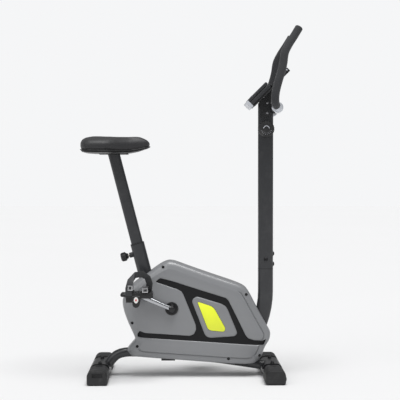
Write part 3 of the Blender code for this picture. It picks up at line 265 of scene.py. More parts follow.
def panel(name, outline, levels, reach=0.008):
    """An outline in the X-Z plane raised through (Y, inset) levels."""
    points = cornered(millimetres(outline), reach)
    count = len(points)
    rings = []
    area = sum(points[i - 1].x * points[i].y - points[i].x * points[i - 1].y for i in range(count))
    turn = 1.0 if area > 0 else -1.0
    for y, inset in levels:
        ring = []
        for i in range(count):
            along = (points[(i + 1) % count] - points[i - 1]).normalized()
            moved = points[i] + Vector((-along.y, along.x)) * inset * turn
            ring.append(Vector((moved.x, y, moved.y)))
        rings.append(ring)
    return grown(name, rings)


def through(points, steps):
    """Points on a smooth curve through the given ones."""
    points = [Vector(p) for p in points]
    padded = [points[0] * 2 - points[1]] + points + [points[-1] * 2 - points[-2]]
    result = []
    for i in range(1, len(padded) - 2):
        p0, p1, p2, p3 = padded[i - 1:i + 3]
        for step in range(steps):
            t = step / steps
            result.append(0.5 * ((2 * p1) + (p2 - p0) * t + (2 * p0 - 5 * p1 + 4 * p2 - p3) * t ** 2
                                 + (3 * p1 - p0 - 3 * p2 + p3) * t ** 3))
    result.append(points[-1])
    return result


def tube(name, points, radii, sides=20):
    """A round skin along points in space; radii is one number or one for each point."""
    rings = []
    side = None
    for i, point in enumerate(points):
        along = (points[min(i + 1, len(points) - 1)] - points[max(i - 1, 0)]).normalized()
        if side is None:
            side = along.orthogonal().normalized()
        side = (side - along * side.dot(along)).normalized()
        other = along.cross(side)
        radius = radii[i] if isinstance(radii, (list, tuple)) else radii
        rings.append([point + side * math.cos(math.tau * k / sides) * radius
                      + other * math.sin(math.tau * k / sides) * radius for k in range(sides)])
    return grown(name, rings)


def from_node(name, node, bevel=0.0, segments=2, degrees=40.0):
    """A working copy of a frame node: its triangles merged, its flat faces joined and its edges rounded."""
    piece = bpy.data.objects.new(name, frame["nodes"][node].data.copy())
    bpy.context.scene.collection.objects.link(piece)
    piece.data.name = name
    piece.data.materials.clear()
    only(piece)
    bpy.ops.object.mode_set(mode="EDIT")
    bpy.ops.mesh.select_all(action="SELECT")
    bpy.ops.mesh.remove_doubles(threshold=0.00001)
    bpy.ops.mesh.dissolve_limited(angle_limit=math.radians(1.0))
    bpy.ops.mesh.normals_make_consistent(inside=False)
    bpy.ops.object.mode_set(mode="OBJECT")
    if bevel > 0:
        modify(piece, "BEVEL", width=bevel, segments=segments, limit_method="ANGLE",
               angle_limit=math.radians(degrees), use_clamp_overlap=True)
    smooth(piece)
    modify(piece, "WEIGHTED_NORMAL", keep_sharp=True)
    return piece


def placed(piece, body, material, *nodes):
    """Gives the piece its material and body, and hides the frame nodes it stands for."""
    piece.data.materials.clear()
    piece.data.materials.append(material)
    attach(piece, body)
    if nodes:
        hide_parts(*nodes)
    return piece


def shown(piece, body, finish, *nodes, degrees=32.0):
    """Shades the piece smoothly and places it."""
    smooth(piece, degrees)
    return placed(piece, body, FINISH[finish], *nodes)


def refined(node, body, finish, bevel=0.0, segments=2, degrees=40.0, name=None):
    """A frame node's finished copy, named after it unless a name is given."""
    piece = from_node((name or node) + "_finished", node, bevel, segments, degrees)
    return placed(piece, body, FINISH[finish], node)


def dress(nodes, material):
    """Paints frame nodes that stay in view."""
    for name in nodes:
        shown = frame["nodes"][name]
        if not shown.material_slots:
            shown.data.materials.append(material)
        for held in shown.material_slots:
            held.material = material


# Shared finishes

def new_group(name, inputs, outputs):
    group = bpy.data.node_groups.new(name, "ShaderNodeTree")
    for label, kind, value in inputs:
        socket = group.interface.new_socket(name=label, in_out="INPUT", socket_type=kind)
        if value is not None:
            socket.default_value = value
    for label, kind in outputs:
        group.interface.new_socket(name=label, in_out="OUTPUT", socket_type=kind)
    start = group.nodes.new("NodeGroupInput")
    end = group.nodes.new("NodeGroupOutput")
    start.location = (-700, 0)
    end.location = (500, 0)
    return group, start, end


def math_node(group, operation, *values, clamp=False):
    """A calculation on numbers and on other nodes' outputs."""
    node = group.nodes.new("ShaderNodeMath")
    node.operation = operation
    node.use_clamp = clamp
    for socket, value in zip(node.inputs, values):
        if isinstance(value, float):
            socket.default_value = value
        else:
            group.links.new(value, socket)
    return node.outputs[0]


def noise(group, start, factor, detail):
    """A noise field whose scale is the group's own scale times a factor."""
    field = group.nodes.new("ShaderNodeTexNoise")
    field.inputs["Detail"].default_value = detail
    group.links.new(math_node(group, "MULTIPLY", start.outputs["Scale"], factor), field.inputs["Scale"])
    group.links.new(start.outputs["Vector"], field.inputs["Vector"])
    return field.outputs["Fac"]


def uneven_finish():
    """Colour and roughness that drift gently over a surface, as handled plastic and paint do."""
    group, start, end = new_group(
        "uneven_finish",
        (("Vector", "NodeSocketVector", None), ("Colour", "NodeSocketColor", None),
         ("Roughness", "NodeSocketFloat", 0.4), ("Scale", "NodeSocketFloat", 12.0),
         ("Spread", "NodeSocketFloat", 0.12)),
        (("Colour", "NodeSocketColor"), ("Roughness", "NodeSocketFloat")))
    broad, close = (math_node(group, "MULTIPLY",
                              math_node(group, "SUBTRACT", noise(group, start, factor, detail), 0.5),
                              start.outputs["Spread"])
                    for factor, detail in ((1.0, 3.0), (14.0, 5.0)))
    tone = group.nodes.new("ShaderNodeVectorMath")
    tone.operation = "SCALE"
    link = group.links.new
    link(start.outputs["Colour"], tone.inputs[0])
    link(math_node(group, "MULTIPLY_ADD", broad, 2.0, 1.0), tone.inputs["Scale"])
    link(tone.outputs[0], end.inputs["Colour"])
    link(math_node(group, "ADD", start.outputs["Roughness"], close, clamp=True), end.inputs["Roughness"])
    return group


def moulded_grain():
    """Height of a fine moulded or sprayed grain."""
    group, start, end = new_group(
        "moulded_grain",
        (("Vector", "NodeSocketVector", None), ("Scale", "NodeSocketFloat", 900.0)),
        (("Height", "NodeSocketFloat"),))
    group.links.new(noise(group, start, 1.0, 2.0), end.inputs["Height"])
    return group


def cell_grain():
    """Height of soft cells, as pressed vinyl and foam have."""
    group, start, end = new_group(
        "cell_grain",
        (("Vector", "NodeSocketVector", None), ("Scale", "NodeSocketFloat", 500.0),
         ("Cells", "NodeSocketFloat", 0.7)),
        (("Height", "NodeSocketFloat"),))
    cells = group.nodes.new("ShaderNodeTexVoronoi")
    cells.feature = "DISTANCE_TO_EDGE"
    edge = group.nodes.new("ShaderNodeMapRange")
    edge.inputs["From Max"].default_value = 0.12
    mix = group.nodes.new("ShaderNodeMix")
    mix.data_type = "FLOAT"
    link = group.links.new
    link(start.outputs["Vector"], cells.inputs["Vector"])
    link(start.outputs["Scale"], cells.inputs["Scale"])
    link(cells.outputs["Distance"], edge.inputs["Value"])
    link(start.outputs["Cells"], mix.inputs[0])
    link(noise(group, start, 2.3, 3.0), mix.inputs[2])
    link(edge.outputs["Result"], mix.inputs[3])
    link(mix.outputs[0], end.inputs["Height"])
    return group


def settled_dust():
    """A mask of light dust in patches."""
    group, start, end = new_group(
        "settled_dust",
        (("Vector", "NodeSocketVector", None), ("Scale", "NodeSocketFloat", 30.0),
         ("Amount", "NodeSocketFloat", 0.1)),
        (("Mask", "NodeSocketFloat"),))
    reach = group.nodes.new("ShaderNodeMapRange")
    reach.inputs["From Min"].default_value = 0.52
    reach.inputs["From Max"].default_value = 0.78
    group.links.new(noise(group, start, 1.0, 6.0), reach.inputs["Value"])
    amount = math_node(group, "MULTIPLY", reach.outputs["Result"], start.outputs["Amount"])
    group.links.new(amount, end.inputs["Mask"])
    return group


GROUPS = {}


def group_node(material, name):
    builders = {"uneven_finish": uneven_finish, "moulded_grain": moulded_grain,
                "cell_grain": cell_grain, "settled_dust": settled_dust}
    if name not in GROUPS:
        GROUPS[name] = builders[name]()
    node = material.node_tree.nodes.new("ShaderNodeGroup")
    node.node_tree = GROUPS[name]
    return node


def surface(name, colour, roughness, metallic=0.0, spread=0.10, scale=12.0, grain="moulded_grain",
            grain_scale=900.0, grain_depth=0.00008, cells=0.7, dust=0.0, coat=0.0, sheen=0.0, specular=0.5):
    """A finished material: drifting colour and roughness, a grain that shades, and light dust."""
    material = bpy.data.materials.new(name)
    material.use_nodes = True
    nodes = material.node_tree.nodes
    link = material.node_tree.links.new
    shader = nodes["Principled BSDF"]
    place = nodes.new("ShaderNodeTexCoord")
    place.location = (-900, 0)
    drift = group_node(material, "uneven_finish")
    drift.location = (-500, 200)
    drift.inputs["Colour"].default_value = (*colour, 1.0)
    drift.inputs["Roughness"].default_value = roughness
    drift.inputs["Scale"].default_value = scale
    drift.inputs["Spread"].default_value = spread
    link(place.outputs["Object"], drift.inputs["Vector"])
    link(drift.outputs["Roughness"], shader.inputs["Roughness"])
    shown = drift.outputs["Colour"]
    if dust > 0:
        powder = group_node(material, "settled_dust")
        powder.location = (-500, -60)
        powder.inputs["Amount"].default_value = dust
        link(place.outputs["Object"], powder.inputs["Vector"])
        blend = nodes.new("ShaderNodeMix")
        blend.data_type = "RGBA"
        blend.location = (-250, 100)
        blend.inputs[7].default_value = (0.45, 0.44, 0.43, 1.0)
        link(powder.outputs["Mask"], blend.inputs[0])
        link(shown, blend.inputs[6])
        shown = blend.outputs[2]
    link(shown, shader.inputs["Base Color"])
    if grain:
        height = group_node(material, grain)
        height.location = (-500, -320)
        height.inputs["Scale"].default_value = grain_scale
        if grain == "cell_grain":
            height.inputs["Cells"].default_value = cells
        link(place.outputs["Object"], height.inputs["Vector"])
        bump = nodes.new("ShaderNodeBump")
        bump.location = (-250, -300)
        bump.inputs["Strength"].default_value = 0.6
        bump.inputs["Distance"].default_value = grain_depth
        link(height.outputs["Height"], bump.inputs["Height"])
        link(bump.outputs["Normal"], shader.inputs["Normal"])
    shader.inputs["Metallic"].default_value = metallic
    shader.inputs["Specular IOR Level"].default_value = specular
    shader.inputs["Coat Weight"].default_value = coat
    shader.inputs["Coat Roughness"].default_value = 0.15
    shader.inputs["Sheen Weight"].default_value = sheen
    shader.inputs["Sheen Roughness"].default_value = 0.5
    return material


# Name here, material, colour or the colour setting to take, roughness, and what differs from the usual.
FINISHES = (
    ("cover", "cover_plastic", "cover", 0.33, dict(spread=0.05, scale=6.0, grain_scale=1400.0,
        grain_depth=0.00004, dust=0.03, coat=0.4)),
    ("paint", "charcoal_paint", "frame", 0.30, dict(spread=0.08, scale=9.0, grain_scale=700.0,
        grain_depth=0.00004, coat=0.25, dust=0.03)),
    ("black", "black_plastic", "black", 0.42, dict(spread=0.10, grain_scale=1100.0, grain_depth=0.00006,
        dust=0.04)),
    ("band", "recessed_band", (0.006, 0.006, 0.007), 0.55, dict(spread=0.06, grain_scale=1100.0,
        grain_depth=0.00005, specular=0.3)),
    ("black_oxide", "black_oxide", (0.030, 0.030, 0.032), 0.34, dict(metallic=0.8, spread=0.15,
        grain_scale=500.0, grain_depth=0.00003)),
    ("gloss_black", "gloss_black", "black", 0.34, dict(spread=0.08, grain_scale=900.0, grain_depth=0.00003,
        coat=0.1)),
    ("rubber", "rubber", (0.016, 0.016, 0.017), 0.62, dict(spread=0.18, grain_scale=800.0,
        grain_depth=0.0001, dust=0.08)),
    ("foam", "grip_foam", "foam", 0.80, dict(spread=0.15, grain="cell_grain", grain_scale=1300.0,
        grain_depth=0.00016, cells=0.35, sheen=0.15)),
    ("vinyl", "saddle_vinyl", "vinyl", 0.50, dict(spread=0.10, grain="cell_grain", grain_scale=620.0,
        grain_depth=0.00012, cells=0.75, sheen=0.10)),
    ("chrome", "chrome_plate", (0.78, 0.79, 0.81), 0.14, dict(metallic=1.0, spread=0.08, grain_scale=60.0,
        grain_depth=0.00003)),
    ("arm", "crank_plate", (0.46, 0.47, 0.49), 0.22, dict(metallic=1.0, spread=0.08, grain_scale=60.0,
        grain_depth=0.00003)),
    ("steel", "bare_steel", (0.50, 0.50, 0.51), 0.36, dict(metallic=1.0, spread=0.18, grain_scale=500.0,
        grain_depth=0.00004)),
    ("zinc", "zinc_plate", (0.62, 0.60, 0.55), 0.30, dict(metallic=1.0, spread=0.15, grain_scale=400.0,
        grain_depth=0.00003)),
    ("iron", "machined_iron", (0.28, 0.28, 0.29), 0.42, dict(metallic=1.0, spread=0.20, grain_scale=350.0,
        grain_depth=0.00006)),
    ("pale", "pale_plastic", "pale", 0.34, dict(spread=0.06, grain_scale=900.0, grain_depth=0.00003)),
    ("housing", "console_housing", (0.030, 0.031, 0.034), 0.38, dict(spread=0.08, grain_scale=1300.0,
        grain_depth=0.00005)),
    ("badge", "badge_plate", "badge", 0.40, dict(spread=0.05, scale=20.0, grain_scale=1500.0,
        grain_depth=0.00002)),
    ("screen", "display_glass", (0.012, 0.013, 0.015), 0.10, dict(spread=0.03, grain_scale=40.0,
        grain_depth=0.00001, coat=0.5)),
    ("lcd", "display_pane", (0.20, 0.24, 0.20), 0.35, dict(spread=0.04, grain_scale=1500.0,
        grain_depth=0.00001)),
    ("label", "paper_label", (0.80, 0.79, 0.77), 0.45, dict(spread=0.05, grain_scale=900.0,
        grain_depth=0.00002)),
    ("mark", "red_mark", (0.62, 0.06, 0.06), 0.45, dict(spread=0.05, grain_scale=900.0,
        grain_depth=0.00002)),
    ("webbing", "strap_rubber", (0.030, 0.031, 0.034), 0.52, dict(spread=0.14, grain_scale=900.0,
        grain_depth=0.00010, dust=0.05)),
)
FINISH = {}


def make_finishes(colours):
    for key, name, tone, roughness, details in FINISHES:
        tone = getattr(colours, tone) if isinstance(tone, str) else tone
        FINISH[key] = surface(name, tone, roughness, **details)


# Pieces

def sizes():
    return bpy.context.scene.bike_sizes


def copies(piece, places):
    """A copy of the piece, with its own mesh, for each name and matrix; the first model is removed."""
    made = []
    for name, matrix in places:
        copy = bpy.data.objects.new(name, piece.data.copy())
        bpy.context.scene.collection.objects.link(copy)
        copy.data.name = name
        copy.data.transform(matrix)
        copy.data.update()
        made.append(copy)
    bpy.data.objects.remove(piece)
    return made


def scattered(piece, places, body, finish):
    for copy in copies(piece, places):
        placed(copy, body, FINISH[finish])


def facing(position, axis):
    """The matrix that turns +Z to the axis and moves the origin to the position."""
    side, other, along = axis_frame(axis)
    matrix = Matrix((side, other, along)).transposed().to_4x4()
    matrix.translation = Vector(position)
    return matrix


def button_bolt(radius, height, socket):
    """A domed screw head on the origin facing +Z, with a six-sided socket."""
    profile = [(radius, -0.0008), (radius, height * 0.18), (radius * 0.97, height * 0.34),
               (radius * 0.88, height * 0.60), (radius * 0.70, height * 0.84), (radius * 0.42, height * 0.98),
               (radius * 0.20, height)]
    head = turned("bolt_head", profile, (0, 0, 0), (0, 0, 1), 32)
    key = turned("bolt_key", [(socket, height * 0.35), (socket, height * 1.5)], (0, 0, 0), (0, 0, 1), 6)
    subtract(head, key)
    edged(head, 0.0003, 2, 40)
    return head


def washer(radius, hole, height):
    profile = [(hole, 0.0), (radius, 0.0), (radius, height * 0.7), (radius * 0.96, height), (hole, height)]
    ring = turned("washer", profile, (0, 0, 0), (0, 0, 1), 36)
    smooth(ring)
    return ring


def section_ring(centre, across, up, half_u, half_v, corner, steps=6):
    """A rounded rectangle round a centre, from its corner to its corner."""
    ring = []
    for quarter, (su, sv) in enumerate(((1, 1), (-1, 1), (-1, -1), (1, -1))):
        for step in range(steps):
            turn = math.radians(90 * quarter + 90 * step / (steps - 1))
            u = su * (half_u - corner) + corner * math.cos(turn)
            v = sv * (half_v - corner) + corner * math.sin(turn)
            ring.append(Vector(centre) + Vector(across) * u + Vector(up) * v)
    return ring


def bar(name, path, half_u, half_y, corner, steps=6):
    """A rounded bar along (X, Z) points in the middle plane; half_u is across the path in that plane."""
    points = [Vector((x, 0.0, z)) for x, z in path]
    rings = []
    for i, point in enumerate(points):
        along = (points[min(i + 1, len(points) - 1)] - points[max(i - 1, 0)]).normalized()
        across = Vector((along.z, 0.0, -along.x))
        rings.append(section_ring(point, across, (0, 1, 0), half_u, half_y, corner, steps))
    return grown(name, rings)


def seat_point(along, back=0.0, y=0.0):
    """A point measured from the seat tube's mouth, up its axis and out of its rear face."""
    lean = math.radians(14.6)
    axis = Vector((-math.sin(lean), 0.0, math.cos(lean)))
    rear = Vector((-math.cos(lean), 0.0, -math.sin(lean)))
    return Vector((-0.198, y, 0.500)) + axis * along + rear * back


SEAT_REAR = seat_point(0.0, 1.0) - seat_point(0.0)


def neck_point(degrees):
    turn = math.radians(degrees)
    return (-0.049 + 0.338 * math.cos(turn), 0.320 - 0.338 * math.sin(turn))


def console_matrix():
    """Along the console, to the left and out of its face, from the middle of its lower edge."""
    return Matrix(((0.70711, 0.0, -0.70711, 0.2478), (0.0, 1.0, 0.0, 0.0),
                   (0.70711, 0.0, 0.70711, 1.0233), (0.0, 0.0, 0.0, 1.0)))


class BIKE_OT_frame(bpy.types.Operator):
    """Paints the frame, rounds its edges and adds its bolts, seam and tabs"""

    bl_idname = "bike.frame"
    bl_label = "Frame"

    def execute(self, context):
        for node in ("base_tube", "seat_tube", "neck_tube", "handlebar_post"):
            refined(node, "frame_body", "paint", 0.0006, 2, 50)
        for node in ("rear_mount_plate", "front_mount_plate"):
            refined(node, "frame_body", "gloss_black", 0.0008, 2)
        head = button_bolt(0.0078, 0.0050, 0.0026)
        heights = (("upper", 0.463), ("lower", 0.424))
        places = [("post_bolt_" + end, facing((POST_X + 0.0285, 0.0, z), (1, 0, 0))) for end, z in heights]
        for side, label in SIDES:
            places.append((label + "_post_bolt", facing((POST_X, 0.019 * side, 0.442), (0, side, 0))))
        scattered(head, places, "frame_body", "black_oxide")
        levels = ((0.4050, 0.0006), (0.4054, 0.0), (0.4068, 0.0), (0.4072, 0.0006))
        seam = grown("post_seam", [section_ring((POST_X, 0, z), (1, 0, 0), (0, 1, 0), 0.0287 - cut,
                                                0.0192 - cut, 0.0131) for z, cut in levels])
        shown(seam, "frame_body", "band")
        tab = block("frame_tab", (-0.026, -0.009, -0.004), (0.026, 0.009, 0.004))
        edged(tab, 0.0012, 2, 30)
        spots = (("rear", -0.081, 0.0640), ("front", 0.196, 0.0450))
        tabs = [(f"{label}_{end}_frame_tab", Matrix.Translation((x, 0.021 * side, z)))
                for side, label in SIDES for end, x, z in spots]
        scattered(tab, tabs, "frame_body", "black")
        ring = washer(0.0098, 0.0045, 0.0014)
        places = [("post_washer_" + end, facing((POST_X + 0.0282, 0.0, z), (1, 0, 0))) for end, z in heights]
        scattered(ring, places, "frame_body", "black_oxide")
        return {"FINISHED"}


class BIKE_OT_floor_bars(bpy.types.Operator):
    """Finishes the two floor bars, their caps, bolts and wheels"""

    bl_idname = "bike.floor_bars"
    bl_label = "Floor Bars"

    def execute(self, context):
        for node in ("rear_stabilizer", "front_stabilizer"):
            refined(node, "frame_body", "gloss_black")
        for node in ("rear_right_cap", "rear_left_cap", "front_right_cap", "front_left_cap"):
            cap = from_node(node + "_finished", node, 0.0012, 3, 50)
            if node.startswith("rear"):
                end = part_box(node)[0 if "right" in node else 1][1]
                deep = 0.0040 if end < 0 else -0.0040
                low, high = sorted((end + deep, end - deep))
                subtract(cap, block("end_window", (-0.3545, low, 0.0290), (-0.3175, high, 0.0430)))
                smooth(cap)
            placed(cap, "frame_body", FINISH["rubber"], node)
        self.bolts()
        self.clips()
        self.wheels()
        return {"FINISHED"}

    def bolts(self):
        profile = [(0.0062, 0.0), (0.0062, 0.0034), (0.0056, 0.0050), (0.0048, 0.0064), (0.0036, 0.0077),
                   (0.0018, 0.0085), (0.0006, 0.0087)]
        nut = turned("dome_nut", profile, (0, 0, 0), (0, 0, 1), 36)
        hexagon = turned("nut_flats", [(0.0070, -0.0004), (0.0070, 0.0038)], (0, 0, 0), (0, 0, 1), 6)
        modify(nut, "BOOLEAN", operation="UNION", solver="EXACT", object=hexagon)
        bpy.data.objects.remove(hexagon)
        edged(nut, 0.0003, 2, 40)
        places = [(f"{end}_{label}_nut", facing((x, 0.065 * side, 0.0563), (0, 0, 1)))
                  for end, x in FLOOR_BARS for side, label in SIDES]
        scattered(nut, places, "frame_body", "black_oxide")
        ring = washer(0.0092, 0.0050, 0.0014)
        places = [(name.replace("nut", "nut_washer"), Matrix.Translation((0, 0, -0.0014)) @ place)
                  for name, place in places]
        scattered(ring, places, "frame_body", "black_oxide")

    def clips(self):
        """The moulded tongue that holds each cap on its bar."""
        outline = [(-0.013, -0.0065), (0.013, -0.0065), (0.013, 0.0), (0.004, 0.0075), (-0.004, 0.0075),
                   (-0.013, 0.0)]
        rings = [[Vector((x, y, z)) for x, y in outline] for z in (-0.0030, 0.0022)]
        tongue = grown("cap_clip", rings)
        edged(tongue, 0.0008, 2, 30)
        places = []
        for end, x in FLOOR_BARS:
            for side, label in SIDES:
                turn = Matrix.Rotation(0.0 if side > 0 else -math.pi, 4, "Z")
                places.append((f"{end}_{label}_clip", Matrix.Translation((x, 0.1335 * side, 0.0546)) @ turn))
        scattered(tongue, places, "frame_body", "black")

    def wheels(self):
        for side, label in SIDES:
            profile = [(0.0062, -0.0096), (0.0125, -0.0098), (0.0160, -0.0096), (0.0176, -0.0078),
                       (0.0180, -0.0050), (0.0180, 0.0050), (0.0176, 0.0078), (0.0160, 0.0096),
                       (0.0125, 0.0098), (0.0062, 0.0096)]
            centre = (0.3325, 0.215 * side, 0.0205)
            wheel = turned(label + "_wheel_finished", profile, centre, (0, 1, 0), 48)
            bore = turned("wheel_bore", [(0.0042, -0.03), (0.0042, 0.03)], centre, (0, 1, 0), 24)
            subtract(wheel, bore)
            shown(wheel, label + "_wheel_body", "rubber", label + "_transport_wheel")


class BIKE_OT_saddle(bpy.types.Operator):
    """Makes the padded saddle and the shell under it"""

    bl_idname = "bike.saddle"
    bl_label = "Saddle"

    sections = ((-411, 62, 852, 880), (-405, 92, 846, 897), (-392, 110, 843, 904), (-376, 117, 842, 906),
                (-360, 119, 841, 906), (-340, 119.5, 841, 906), (-318, 118, 841, 905), (-300, 112, 841, 905),
                (-280, 100, 841, 904), (-262, 85, 841, 904), (-245, 72, 841, 904), (-228, 59, 842, 904),
                (-210, 49, 845, 905), (-195, 42, 848, 905), (-180, 37, 852, 903), (-168, 33, 856, 900),
                (-158, 28, 859, 896), (-151, 21, 862, 890), (-148, 14, 865, 885))

    def skin(self, name, shrink, bottom, top_share):
        """The saddle's section carried from tail to nose; top_share is how much of the height it takes."""
        rings = []
        for x, half, low, high in self.sections:
            low = low + bottom
            high = low + (high - low) * top_share
            middle = low + (high - low) * 0.36
            ring = []
            for k in range(40):
                turn = math.tau * k / 40
                flat = math.cos(turn)
                rise = math.sin(turn)
                y = math.copysign(abs(flat) ** (0.62 if rise > 0 else 0.42), flat) * (half - shrink)
                if rise > 0:
                    z = middle + (high - shrink - middle) * abs(rise) ** 0.80
                else:
                    z = middle - (middle - low - shrink * 0.4) * abs(rise) ** 0.45
                ring.append(Vector((x / 1000, y / 1000, z / 1000)))
            rings.append(ring)
        return grown(name, rings)

    def execute(self, context):
        saddle = self.skin("saddle_cushion", 3.2, 5.0, 1.0)
        tidy(saddle)
        modify(saddle, "REMESH", mode="VOXEL", voxel_size=0.0045)
        self.pump(saddle)
        modify(saddle, "SMOOTH", factor=0.5, iterations=4)
        modify(saddle, "SUBSURF", levels=1, render_levels=1)
        only(saddle)
        bpy.ops.object.shade_smooth()
        placed(saddle, "seat_body", FINISH["vinyl"], "saddle")
        pan = self.skin("saddle_pan", 4.2, 0.0, 0.28)
        pan.data.transform(Matrix.Translation((-0.280, 0, 0)) @ Matrix.Diagonal((0.975, 1, 1, 1))
                           @ Matrix.Translation((0.280, 0, 0)))
        shown(pan, "seat_body", "black", degrees=50)
        self.seam()
        refined("saddle_plate", "seat_body", "gloss_black", 0.001, 2)
        return {"FINISHED"}

    def pump(self, saddle):
        """Lets the skin swell under pressure, then limits how far each point may have moved."""
        before = [vertex.co.copy() for vertex in saddle.data.vertices]
        only(saddle)
        bpy.ops.object.modifier_add(type="CLOTH")
        cloth = saddle.modifiers[-1]
        cloth.settings.use_pressure = True
        cloth.settings.uniform_pressure_force = 4.0
        cloth.settings.tension_stiffness = 20.0
        cloth.settings.bending_stiffness = 4.0
        cloth.settings.effector_weights.gravity = 0.0
        cloth.point_cache.frame_start = 1
        cloth.point_cache.frame_end = 20
        for step in range(1, 21):
            bpy.context.scene.frame_set(step)
        bpy.ops.object.modifier_apply(modifier=cloth.name)
        bpy.context.scene.frame_set(1)
        most = sizes().saddle_swell
        for vertex, start in zip(saddle.data.vertices, before):
            moved = vertex.co - start
            if moved.length > most:
                vertex.co = start + moved.normalized() * most

    def seam(self):
        """The raised welt where the skin is pulled over the shell."""
        half = [(-280 + (x + 280) * 0.98, width - 3.6, low + 0.18 * (high - low))
                for x, width, low, high in self.sections]
        points = [Vector((x / 1000, -w / 1000, z / 1000)) for x, w, z in half]
        points += [Vector((x / 1000, w / 1000, z / 1000)) for x, w, z in half[::-1]]
        points.append(points[0])
        welt = tube("saddle_welt", through(points, 3), 0.0019, 10)
        shown(welt, "seat_body", "black", degrees=60)


class BIKE_OT_seat_post(bpy.types.Operator):
    """Finishes the seat post, its bushing, knob and sleeve"""

    bl_idname = "bike.seat_post"
    bl_label = "Seat Post"

    def execute(self, context):
        refined("seat_post", "seat_body", "paint")
        refined("seat_bushing", "frame_body", "black", 0.0008, 2)
        refined("seat_knob", "seat_knob_body", "black", 0.0010, 3, 40)
        sleeve = turned("seat_knob_sleeve", [(0.0040, 0.0), (0.0052, 0.0), (0.0056, 0.0012), (0.0056, 0.0048),
                                             (0.0040, 0.0048)],
                        seat_point(-0.0345, 0.0397), SEAT_REAR, 32)
        shown(sleeve, "seat_knob_body", "zinc")
        return {"FINISHED"}


